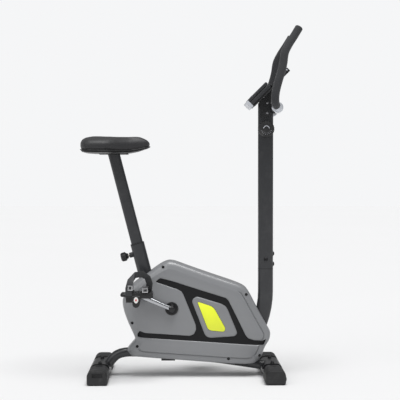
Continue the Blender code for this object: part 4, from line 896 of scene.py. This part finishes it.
class BIKE_OT_covers(bpy.types.Operator):
    """Makes the two drive covers with their recessed bands, plates and screws"""

    bl_idname = "bike.covers"
    bl_label = "Drive Covers"

    def outline(self, points):
        """The outline with gentle corners eased right away and sharp ones kept tight."""
        points = millimetres(points)
        reach = sizes().cover_rounding
        result = []
        count = len(points)
        for i in range(count):
            here = points[i]
            back = points[i - 1] - here
            ahead = points[(i + 1) % count] - here
            turn = math.pi - back.angle(ahead)
            limit = 0.060 if turn < 0.60 else reach
            start = here + back.normalized() * min(limit, back.length * 0.46)
            end = here + ahead.normalized() * min(limit, ahead.length * 0.46)
            for step in range(6):
                t = step / 5
                result.append(start * (1 - t) ** 2 + here * 2 * t * (1 - t) + end * t ** 2)
        return result

    def shell(self, name, profile, side, inset=0.0):
        """A closed solid through the profile's outlines, each drawn in by the inset."""
        edge = self.outline(COVER_EDGE)
        face = self.outline(COVER_FACE)
        rings = []
        grooved = [self.groove_share(edge[(i + 3) % len(edge)] - edge[i - 3]) for i in range(len(edge))]
        for deep, plain, share in profile:
            flat = [low.lerp(high, share) for low, high in zip(edge, face)]
            ring = []
            for i, point in enumerate(flat):
                along = flat[(i + 1) % len(flat)] - flat[i - 1]
                inward = Vector((along.y, -along.x)).normalized() * inset
                y = plain + (deep - plain) * grooved[i]
                ring.append(Vector((point.x + inward.x, y / 1000 * side, point.y + inward.y)))
            rings.append(ring)
        return grown(name, rings)

    def groove_share(self, along):
        """How deep the rim's groove is for an edge that runs this way: full in front and below only."""
        outward = Vector((-along.y, along.x)).normalized()
        facing_groove = max(outward.dot(Vector(way)) for way in ((0.985, 0.17), (-0.25, -0.97)))
        share = min(max((facing_groove - 0.55) / 0.30, 0.0), 1.0)
        return share * share * (3 - 2 * share)

    def execute(self, context):
        for side, label in SIDES:
            self.cover(side, label)
            trim = from_node(label + "_trim_finished", label + "_trim", 0.0008, 2, 50)
            placed(trim, "frame_body", FINISH["band"], label + "_trim")
            self.badge(side, label)
            self.crank_ring(side, label)
        self.screws()
        return {"FINISHED"}

    def cover(self, side, label):
        cover = self.shell(label + "_cover_finished", COVER_PROFILE, side)
        subtract(cover, self.shell("hollow_tool", COVER_HOLLOW, side, sizes().cover_wall))
        levels = ((0.046, 0.0), (0.0572, 0.0), (0.0590, -0.0004), (0.0604, -0.0013), (0.0613, -0.0026),
                  (0.0618, -0.0040), (0.0621, -0.0056), (0.0640, -0.0100))
        tools = [panel("window_tool", WINDOW, [(y * side, inset) for y, inset in levels], 0.004)]
        tools.append(turned("crank_tool", [(0.0140, 0.0), (0.0140, 0.030)],
                            (CRANK.x, 0.045 * side, CRANK.z), (0, side, 0), 48))
        low = seat_point(-0.150)
        high = seat_point(-0.030)
        tools.append(bar("seat_tool", [(low.x, low.z), (high.x, high.z)], 0.0267, 0.0237, 0.0125))
        tools.append(bar("neck_tool", [neck_point(d) for d in range(-10, 50, 4)], 0.0293, 0.0197, 0.0133))
        path = [(-0.318, 0.030), (-0.300, 0.055), (-0.277, 0.078), (-0.245, 0.088), (-0.200, 0.089),
                (-0.120, 0.083), (0.0, 0.075), (0.120, 0.063), (0.220, 0.048), (0.300, 0.036)]
        tools.append(bar("base_tool", path, 0.0188, 0.0188, 0.0187))
        for x, z in COVER_SCREWS:
            hole = turned("screw_tool", [(sizes().screw_hole, 0.0), (sizes().screw_hole, 0.030)],
                          (x / 1000, 0.0400 * side, z / 1000), (0, side, 0), 28)
            tools.append(hole)
        subtract(cover, *tools)
        shown(cover, "frame_body", "cover", label + "_cover", degrees=34)

    def badge(self, side, label):
        reach = [abs(corner[1]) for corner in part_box(label + "_badge_panel")]
        top = max(reach)
        levels = ((min(reach), 0.0), (top - 0.0046, 0.0), (top - 0.0028, 0.0005), (top - 0.0014, 0.0016),
                  (top - 0.0005, 0.0032), (top, 0.0054))
        levels = [(y * side, inset) for y, inset in levels]
        plate = panel(label + "_panel_finished", BADGE_PANEL, levels, 0.007)
        shown(plate, "frame_body", "cover", label + "_badge_panel", degrees=50)
        for name, inset, low, high, finish in (("_badge_rim", -0.0012, -0.0004, 0.0006, "black"),
                                               ("_badge", 0.0, -0.0002, 0.0011, "badge")):
            levels = ((side * (top + low), inset), (side * (top + high - 0.0003), inset),
                      (side * (top + high), inset + 0.0004))
            piece = panel(label + name, BADGE, levels, 0.010)
            shown(piece, "frame_body", finish, degrees=40)

    def crank_ring(self, side, label):
        profile = [(0.0125, -0.0004), (0.0246, -0.0004), (0.0250, 0.0004), (0.0250, 0.0022), (0.0243, 0.0034),
                   (0.0228, 0.0040), (0.0205, 0.0040), (0.0196, 0.0030), (0.0188, 0.0022), (0.0125, 0.0020)]
        ring = turned(label + "_crank_ring", profile, (CRANK.x, 0.062 * side, CRANK.z), (0, side, 0), 72)
        hole = turned("ring_tool", [(0.0128, -0.01), (0.0128, 0.01)], (CRANK.x, 0.062 * side, CRANK.z),
                      (0, side, 0), 48)
        subtract(ring, hole)
        shown(ring, "frame_body", "gloss_black")

    def screws(self):
        head = button_bolt(0.0051, 0.0022, 0.0015)
        places = [(f"{label}_cover_screw_{number}", facing((x / 1000, 0.0500 * side, z / 1000), (0, side, 0)))
                  for side, label in SIDES for number, (x, z) in enumerate(COVER_SCREWS, 1)]
        scattered(head, places, "frame_body", "black")


class BIKE_OT_cranks(bpy.types.Operator):
    """Makes the crank arms, their hubs and their nut covers"""

    bl_idname = "bike.cranks"
    bl_label = "Cranks"

    def execute(self, context):
        for side, label in SIDES:
            self.arm(side, label)
        profile = [(0.0108, 0.0), (0.0112, 0.0010), (0.0112, 0.0030), (0.0100, 0.0046), (0.0066, 0.0060),
                   (0.0020, 0.0066)]
        cap = turned("crank_nut_cover", profile, (0, 0, 0), (0, 0, 1), 40)
        smooth(cap)
        places = [(label + "_crank_nut_cover", facing((CRANK.x, 0.0833 * side, CRANK.z), (0, side, 0)))
                  for side, label in SIDES]
        scattered(cap, places, "crank", "black")
        return {"FINISHED"}

    def arm(self, side, label):
        """A forged arm, narrow from end to end with a domed face, on a dark hub."""
        low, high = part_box(label + "_crank_arm")
        near, far = (low[1], high[1]) if side > 0 else (high[1], low[1])
        turn = math.radians(157.0) if side < 0 else math.radians(-23.0)
        along = Vector((math.cos(turn), 0.0, math.sin(turn)))
        across = Vector((-math.sin(turn), 0.0, math.cos(turn)))

        def stadium(cut, y):
            ring = []
            for reach, half, start in ((0.0, 0.0078, math.pi / 2), (0.140, 0.0104, -math.pi / 2)):
                for k in range(17):
                    sweep = start + math.pi * k / 16
                    point = (CRANK + along * (reach + (half - cut) * math.cos(sweep))
                             + across * (half - cut) * math.sin(sweep))
                    ring.append(Vector((point.x, y, point.z)))
            return ring

        rings = [stadium(cut, y)
                 for y, cut in ((near, 0.0012), (near + side * 0.0012, 0.0), (far - side * 0.0048, 0.0),
                                (far - side * 0.0030, 0.0009), (far - side * 0.0014, 0.0025),
                                (far - side * 0.0005, 0.0042), (far, 0.0064))]
        arm = grown(label + "_crank_arm_finished", rings)
        shown(arm, "crank", "arm", label + "_crank_arm", degrees=40)
        profile = [(0.0150, 0.0), (0.0163, 0.0010), (0.0163, 0.0085), (0.0150, 0.0100), (0.0085, 0.0104)]
        hub = turned(label + "_crank_hub", profile, (CRANK.x, near, CRANK.z), (0, side, 0), 48)
        shown(hub, "crank", "black_oxide")


class BIKE_OT_pedals(bpy.types.Operator):
    """Makes the weighted pedals with their straps, buckles and treads"""

    bl_idname = "bike.pedals"
    bl_label = "Pedals"

    def execute(self, context):
        for side, label in SIDES:
            self.pedal(side, label)
        return {"FINISHED"}

    def pedal(self, side, label):
        body = label + "_pedal_body"
        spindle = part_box(label + "_pedal_spindle")
        x = (spindle[0][0] + spindle[1][0]) / 2
        z = (spindle[0][2] + spindle[1][2]) / 2
        refined(label + "_pedal", body, "black", 0.0012, 2, 40)
        refined(label + "_pedal_strap", body, "webbing", 0.0007, 2, 50, name=label + "_strap")
        low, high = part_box(label + "_pedal")
        outer = high[1] if side > 0 else low[1]
        self.treads(side, label, body, x, z, outer)
        self.weight(side, label, body, x, z, outer)
        self.fittings(label, body, x, z)

    def treads(self, side, label, body, x, z, outer):
        """Rows of grip ribs across the top."""
        count = sizes().tread_ribs
        rib = block("tread", (-0.0016, -0.030, -0.0006), (0.0016, 0.030, 0.0016))
        edged(rib, 0.0006, 2, 30)
        places = []
        for i in range(count):
            along = x - 0.002 + 0.056 * i / max(count - 1, 1)
            centre = outer - side * 0.046
            places.append((f"{label}_tread_{i + 1}", Matrix.Translation((along, centre, z + 0.017))))
        scattered(rib, places, body, "black")

    def weight(self, side, label, body, x, z, outer):
        """The lobe under the spindle that keeps the pedal level, with a plain oval sticker."""
        y = outer - side * 0.0002
        outline = [(x * 1000 + right, z * 1000 + up)
                   for right, up in ((-17, 6), (17, 6), (17, -12), (13, -21), (5, -25.5), (-5, -25.5),
                                     (-13, -21), (-17, -12))]
        levels = ((y - side * 0.0060, 0.0), (y + side * 0.0012, 0.0), (y + side * 0.0022, 0.0010))
        lobe = panel(label + "_weight_face", outline, levels, 0.005)
        shown(lobe, body, "black", degrees=35)
        for name, wide, tall, lift, finish in (("_sticker", 0.0080, 0.0112, 0.0006, "label"),
                                               ("_sticker_dot", 0.0030, 0.0040, 0.0010, "mark")):
            ring = []
            for k in range(36):
                turn = math.tau * k / 36
                ring.append(Vector((x + wide * math.cos(turn), 0.0, z - 0.009 + tall * math.sin(turn))))
            rings = [[Vector((p.x, y + side * (0.0018 + rise), p.z)) for p in ring] for rise in (0.0, lift)]
            sticker = grown(label + name, rings)
            shown(sticker, body, finish)

    def fittings(self, label, body, x, z):
        """The strap's buckle and its ring."""
        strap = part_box(label + "_pedal_strap")
        near, far = strap[0][1] - 0.0016, strap[1][1] + 0.0016
        for name, left, right, low, high, wall in (("_buckle", -0.0300, -0.0125, 0.026, 0.0445, 0.0042),
                                                   ("_strap_ring", 0.0225, 0.0430, 0.0185, 0.0350, 0.0038)):
            plate = block(label + name, (x + left, near, z + low), (x + right, far, z + high))
            slot = block("slot", (x + left + wall, near - 0.01, z + low + wall),
                         (x + right - wall, far + 0.01, z + high - wall))
            crossing = block("crossing", (x + left - 0.01, near + 0.0014, z + low + wall * 0.4),
                             (x + right + 0.01, far - 0.0014, z + high - wall * 0.4))
            subtract(plate, slot, crossing)
            edged(plate, 0.0006, 2, 30)
            placed(plate, body, FINISH["steel"])


class BIKE_OT_drive(bpy.types.Operator):
    """Finishes the drive inside the covers"""

    bl_idname = "bike.drive"
    bl_label = "Drive"

    def execute(self, context):
        dress(("crank_shell", "crank_axle", "flywheel_axle", "right_pedal_spindle", "left_pedal_spindle"),
              FINISH["steel"])
        dress(("flywheel", "flywheel_bracket", "idler_arm", "magnet_bracket", "magnet_lug"), FINISH["iron"])
        dress(("crank_pulley", "idler_pulley"), FINISH["black"])
        dress(("drive_belt",), FINISH["rubber"])
        return {"FINISHED"}


class BIKE_OT_handlebar(bpy.types.Operator):
    """Makes the handlebar, grips, pulse sensors and their clamp"""

    bl_idname = "bike.handlebar"
    bl_label = "Handlebar"

    arm = ((0.324, 0.1545, 1.010), (0.3195, 0.164, 1.0125), (0.314, 0.175, 1.0175), (0.3105, 0.188, 1.027),
           (0.3095, 0.198, 1.045), (0.3125, 0.200, 1.0684), (0.3219, 0.199, 1.1044), (0.3322, 0.195, 1.137),
           (0.3392, 0.190, 1.1665), (0.3455, 0.183, 1.206), (0.3609, 0.172, 1.238), (0.3813, 0.160, 1.2698),
           (0.4016, 0.150, 1.3031))

    def side_path(self, side):
        return [Vector((x, y * side, z)) for x, y, z in self.arm]

    def execute(self, context):
        points = self.side_path(-1)[::-1] + [BAR + Vector((0, -0.06, 0)), BAR, BAR + Vector((0, 0.06, 0))]
        handlebar = tube("handlebar_finished", through(points + self.side_path(1), 4), 0.0127, 28)
        shown(handlebar, "handlebar_body", "paint", "handlebar", degrees=60)
        for side, label in SIDES:
            self.grip(side, label)
            self.sensor(side, label)
        refined("handlebar_clamp", "frame_body", "gloss_black", 0.0010, 3, 40)
        refined("handlebar_cradle", "frame_body", "gloss_black", 0.0008, 2, 50)
        refined("console_holder", "frame_body", "gloss_black", 0.0010, 3, 50)
        self.screws()
        return {"FINISHED"}

    def grip(self, side, label):
        points = through(self.side_path(side), 5)[7:]
        radius = sizes().grip_radius
        radii = [radius] * len(points)
        radii[:2] = [radius * 0.93, radius * 0.99]
        tip = points[-1]
        along = (points[-1] - points[-2]).normalized()
        points[-1] = tip - along * 0.0030
        points += [tip - along * 0.0015, tip - along * 0.0004, tip]
        radii += [radius * 0.96, radius * 0.86, radius * 0.72]
        grip = tube(label + "_grip_finished", points, radii, 32)
        shown(grip, "handlebar_body", "foam", label + "_grip", degrees=60)

    def sensor(self, side, label):
        radius = sizes().sensor_radius
        low, high = 0.096, 0.150
        profile = [(0.0129, low), (radius * 0.86, low), (radius * 0.95, low + 0.0010), (radius, low + 0.0030),
                   (radius, low + 0.0080), (radius * 0.985, low + 0.0084), (radius * 0.985, low + 0.0092),
                   (radius, low + 0.0096), (radius, high - 0.0100), (radius * 0.985, high - 0.0096),
                   (radius * 0.985, high - 0.0088), (radius, high - 0.0084), (radius, high - 0.0035),
                   (radius * 0.96, high - 0.0012), (radius * 0.87, high), (0.0129, high)]
        body = turned(label + "_sensor_finished", profile, (BAR.x, 0.0, BAR.z), (0, side, 0), 64)
        shown(body, "handlebar_body", "pale", label + "_pulse_sensor", degrees=40)
        points = [Vector((BAR.x, 0.149 * side, BAR.z))] + through(self.side_path(side), 5)[:8]
        radii = [radius * share for share in (0.86, 0.86, 0.85, 0.83, 0.80, 0.78, 0.765, 0.755, 0.75)]
        nose = tube(label + "_sensor_nose", points, radii, 40)
        shown(nose, "handlebar_body", "pale", degrees=60)
        for name, middle in (("_contact_top", 90.0), ("_contact_under", 270.0)):
            rings = []
            for step in range(19):
                turn = math.radians(middle - 62 + 124 * step / 18)
                ring = []
                for lift, y in ((-0.0008, 0.107), (0.0007, 0.1078), (0.0007, 0.1392), (-0.0008, 0.140)):
                    reach = radius + lift
                    ring.append(Vector((BAR.x + reach * math.cos(turn), y * side,
                                        BAR.z + reach * math.sin(turn))))
                rings.append(ring)
            contact = grown(label + name, rings)
            shown(contact, "handlebar_body", "chrome", degrees=30)

    def screws(self):
        head = button_bolt(0.0050, 0.0028, 0.0018)
        spots = (("upper", 0.2935, 1.034), ("lower", 0.2930, 0.996))
        places = [(f"{label}_cheek_screw_{name}", facing((x, 0.0292 * side, z), (0, side, 0)))
                  for side, label in SIDES for name, x, z in spots]
        scattered(head, places, "frame_body", "iron")


class BIKE_OT_console(bpy.types.Operator):
    """Finishes the console, its display and the plate that holds a tablet"""

    bl_idname = "bike.console"
    bl_label = "Console"

    def execute(self, context):
        refined("console_base", "frame_body", "black", 0.0008, 2, 40)
        refined("console_lower_housing", "frame_body", "housing", 0.0006, 2, 50, name="console_lower")
        refined("console_upper_housing", "frame_body", "housing", 0.0008, 2, 50, name="console_upper")
        refined("console_lip", "frame_body", "pale", 0.0010, 2, 50)
        refined("console_button", "button_body", "pale", 0.0005, 2, 40)
        refined("console_screen", "frame_body", "screen", 0.0004, 2, 40)
        matrix = console_matrix()
        gasket = block("console_gasket", (-0.0054, -0.0710, 0.0047), (0.0850, 0.0710, 0.0056), matrix)
        placed(gasket, "frame_body", FINISH["black"])
        shim = block("console_shim", (0.0, -0.030, -0.0007), (0.044, 0.030, 0.0002), matrix)
        placed(shim, "frame_body", FINISH["black"])
        screen = frame["nodes"]["console_screen"].data
        top = max((matrix.inverted() @ vertex.co).z for vertex in screen.vertices)
        self.display(matrix, top)
        self.marks(matrix)
        return {"FINISHED"}

    def display(self, matrix, top):
        """The display pane and plain segment bars on it."""
        levels = ((top - 0.0002, 0.0), (top + 0.0003, 0.0), (top + 0.0005, 0.0003))
        pane = grown("display_pane", [section_ring((0.055, 0, z), (1, 0, 0), (0, 1, 0), 0.0215 - cut,
                                                   0.0460 - cut, 0.003, 5) for z, cut in levels])
        pane.data.transform(matrix)
        placed(pane, "frame_body", FINISH["lcd"])
        bar_mark = block("display_bar", (-0.0007, -0.0030, 0.0), (0.0007, 0.0030, 0.0003))
        edged(bar_mark, 0.00015, 1, 30)
        places = []
        for column in range(4):
            y = -0.027 + 0.018 * column
            for number, (u, turn) in enumerate(((0.045, 0), (0.055, 0), (0.065, 0), (0.050, 1), (0.060, 1))):
                offset = 0.0042 if turn else 0.0
                local = Matrix.Translation((u, y + offset, top + 0.0004)) @ Matrix.Rotation(
                    math.radians(90.0 * turn), 4, "Z")
                places.append((f"display_bar_{column + 1}_{number + 1}", matrix @ local))
        scattered(bar_mark, places, "frame_body", "black")

    def marks(self, matrix):
        """Screw caps on the console's two sides and the pale pin of the hooked end."""
        head = button_bolt(0.0030, 0.0016, 0.0011)
        places = []
        pins = []
        for side, label in SIDES:
            for kept, name, spot in ((places, "_console_screw", (0.030, 0.0740 * side, 0.0280)),
                                     (pins, "_hook_pin", (0.1735, 0.0780 * side, 0.0110))):
                kept.append((label + name, facing(matrix @ Vector(spot), (0, side, 0))))
        scattered(head, places, "frame_body", "black")
        stud = turned("hook_pin", [(0.0026, -0.0005), (0.0026, 0.0006), (0.0020, 0.0011), (0.0008, 0.0013)],
                      (0, 0, 0), (0, 0, 1), 24)
        smooth(stud)
        scattered(stud, pins, "frame_body", "pale")


class BIKE_OT_tension_knob(bpy.types.Operator):
    """Makes the fluted tension knob with its marks, and its base"""

    bl_idname = "bike.tension_knob"
    bl_label = "Tension Knob"

    def execute(self, context):
        centre = Vector((0.289, 0.0, 0.9355))
        profile = [(0.0288, 0.0235), (0.0300, 0.0240), (0.0315, 0.0256), (0.0315, 0.0290), (0.0314, 0.0340),
                   (0.0310, 0.0400), (0.0302, 0.0440), (0.0286, 0.0462), (0.0262, 0.0470), (0.0245, 0.0470),
                   (0.0225, 0.0462), (0.0180, 0.0460), (0.0120, 0.0466), (0.0060, 0.0472), (0.0020, 0.0474)]
        knob = turned("tension_knob_finished", profile, centre, (0, -1, 0), 192, sizes().knob_flutes, 0.0011)
        shown(knob, "tension_body", "rubber", "tension_knob", degrees=40)
        refined("tension_base", "frame_body", "housing", 0.0006, 2, 50)
        self.arc("knob_arc_upper", centre, 0.0098, 0.0122, 8, 172, 0.0455, 0.0470, "pale")
        self.arc("knob_arc_lower", centre, 0.0158, 0.0167, 200, 340, 0.0455, 0.04645, "iron")
        tick = block("tick", (-0.0005, -0.0012, 0.0), (0.0005, 0.0012, 0.0003))
        edged(tick, 0.00015, 1, 30)
        places = []
        for i in range(8):
            turn = math.radians(200 + 20 * i)
            spot = Vector((0.0202 * math.cos(turn), -0.0460, 0.0202 * math.sin(turn)))
            place = Matrix.Translation(centre + spot)
            turned_to = Matrix.Rotation(-turn + math.pi / 2, 4, "Y") @ Matrix.Rotation(math.pi / 2, 4, "X")
            places.append((f"knob_tick_{i + 1}", place @ turned_to))
        scattered(tick, places, "tension_body", "pale")
        return {"FINISHED"}

    def arc(self, name, centre, inner, outer, start, end, low, high, finish):
        rings = []
        steps = 40
        for step in range(steps + 1):
            turn = math.radians(start + (end - start) * step / steps)
            out = Vector((math.cos(turn), 0.0, math.sin(turn)))
            corners = ((inner, low), (outer, low), (outer, high), (inner, high))
            rings.append([centre + out * reach + Vector((0, -y, 0)) for reach, y in corners])
        piece = grown(name, rings)
        shown(piece, "tension_body", finish)


class BIKE_OT_studio(bpy.types.Operator):
    """Lays the pale floor, hangs the soft lights and sets the camera"""

    bl_idname = "bike.studio"
    bl_label = "Studio"

    def execute(self, context):
        bpy.ops.object.select_all(action="DESELECT")
        bpy.ops.mesh.primitive_plane_add(size=1.0, location=(0, 0, 0))
        floor = bpy.context.object
        floor.name = "studio_floor"
        bpy.ops.object.mode_set(mode="EDIT")
        bpy.ops.mesh.select_all(action="SELECT")
        bpy.ops.transform.resize(value=(60, 60, 1))
        bpy.ops.object.mode_set(mode="OBJECT")
        floor.data.materials.append(surface(
            "studio_floor", context.scene.bike_colours.floor, 0.75, spread=0.01, scale=0.4, grain_scale=4.0,
            grain_depth=0.00002))
        self.light("top_light", (0.1, -0.25, 1.0), 40, 2.55)
        self.light("key_light", (-0.5, -0.6, 0.62), 40, 0.55)
        world = bpy.data.worlds.new("studio")
        world.use_nodes = True
        background = world.node_tree.nodes["Background"]
        background.inputs["Color"].default_value = (0.985, 0.99, 1.0, 1.0)
        path = world.node_tree.nodes.new("ShaderNodeLightPath")
        strength = world.node_tree.nodes.new("ShaderNodeMapRange")
        strength.inputs["To Min"].default_value = 0.27
        strength.inputs["To Max"].default_value = 0.93
        world.node_tree.links.new(path.outputs["Is Camera Ray"], strength.inputs["Value"])
        world.node_tree.links.new(strength.outputs["Result"], background.inputs["Strength"])
        context.scene.world = world
        context.scene.view_settings.view_transform = "Standard"
        self.camera()
        return {"FINISHED"}

    def light(self, name, direction, spread, strength):
        """A broad even light from one direction; spread is how wide it looks from the floor, in degrees."""
        data = bpy.data.lights.new(name, "SUN")
        data.angle = math.radians(spread)
        data.energy = strength
        lamp = bpy.data.objects.new(name, data)
        lamp.rotation_euler = Vector(direction).to_track_quat("Z", "Y").to_euler()
        bpy.context.scene.collection.objects.link(lamp)

    def camera(self):
        data = bpy.data.cameras.new("camera")
        data.lens = 105.9
        data.sensor_width = 36.0
        data.clip_end = 100.0
        camera = bpy.data.objects.new("camera", data)
        camera.location = (-0.0398, -4.470, 0.7395)
        yaw = Matrix.Rotation(math.radians(-1.02), 4, "Z")
        pitch = Matrix.Rotation(math.radians(90.0 - 0.93), 4, "X")
        camera.rotation_euler = (yaw @ pitch).to_euler()
        bpy.context.scene.collection.objects.link(camera)
        bpy.context.scene.camera = camera


PIECES = (BIKE_OT_frame, BIKE_OT_floor_bars, BIKE_OT_covers, BIKE_OT_cranks, BIKE_OT_pedals, BIKE_OT_drive,
          BIKE_OT_seat_post, BIKE_OT_saddle, BIKE_OT_handlebar, BIKE_OT_console, BIKE_OT_tension_knob)


class BIKE_PT_pieces(bpy.types.Panel):
    """Lists the bike's pieces in the sidebar"""

    bl_idname = "BIKE_PT_pieces"
    bl_label = "Exercise Bike"
    bl_space_type = "VIEW_3D"
    bl_region_type = "UI"
    bl_category = "Bike"

    def draw(self, context):
        layout = self.layout
        for group in (context.scene.bike_sizes, context.scene.bike_colours):
            column = layout.column(align=True)
            for key in group.__annotations__:
                column.prop(group, key)
        column = layout.column(align=True)
        for operator in PIECES:
            column.operator(operator.bl_idname)
        column.operator(BIKE_OT_studio.bl_idname)


CLASSES = (BikeSizes, BikeColours, *PIECES, BIKE_OT_studio, BIKE_PT_pieces)


def register():
    for item in CLASSES:
        bpy.utils.register_class(item)
    bpy.types.Scene.bike_sizes = bpy.props.PointerProperty(type=BikeSizes)
    bpy.types.Scene.bike_colours = bpy.props.PointerProperty(type=BikeColours)


def unregister():
    del bpy.types.Scene.bike_colours
    del bpy.types.Scene.bike_sizes
    for item in reversed(CLASSES):
        bpy.utils.unregister_class(item)


def main():
    register()
    make_finishes(bpy.context.scene.bike_colours)
    for operator in PIECES:
        getattr(bpy.ops.bike, operator.bl_idname.split(".")[1])()
    bpy.ops.bike.studio()


if __name__ == "__main__":
    main()
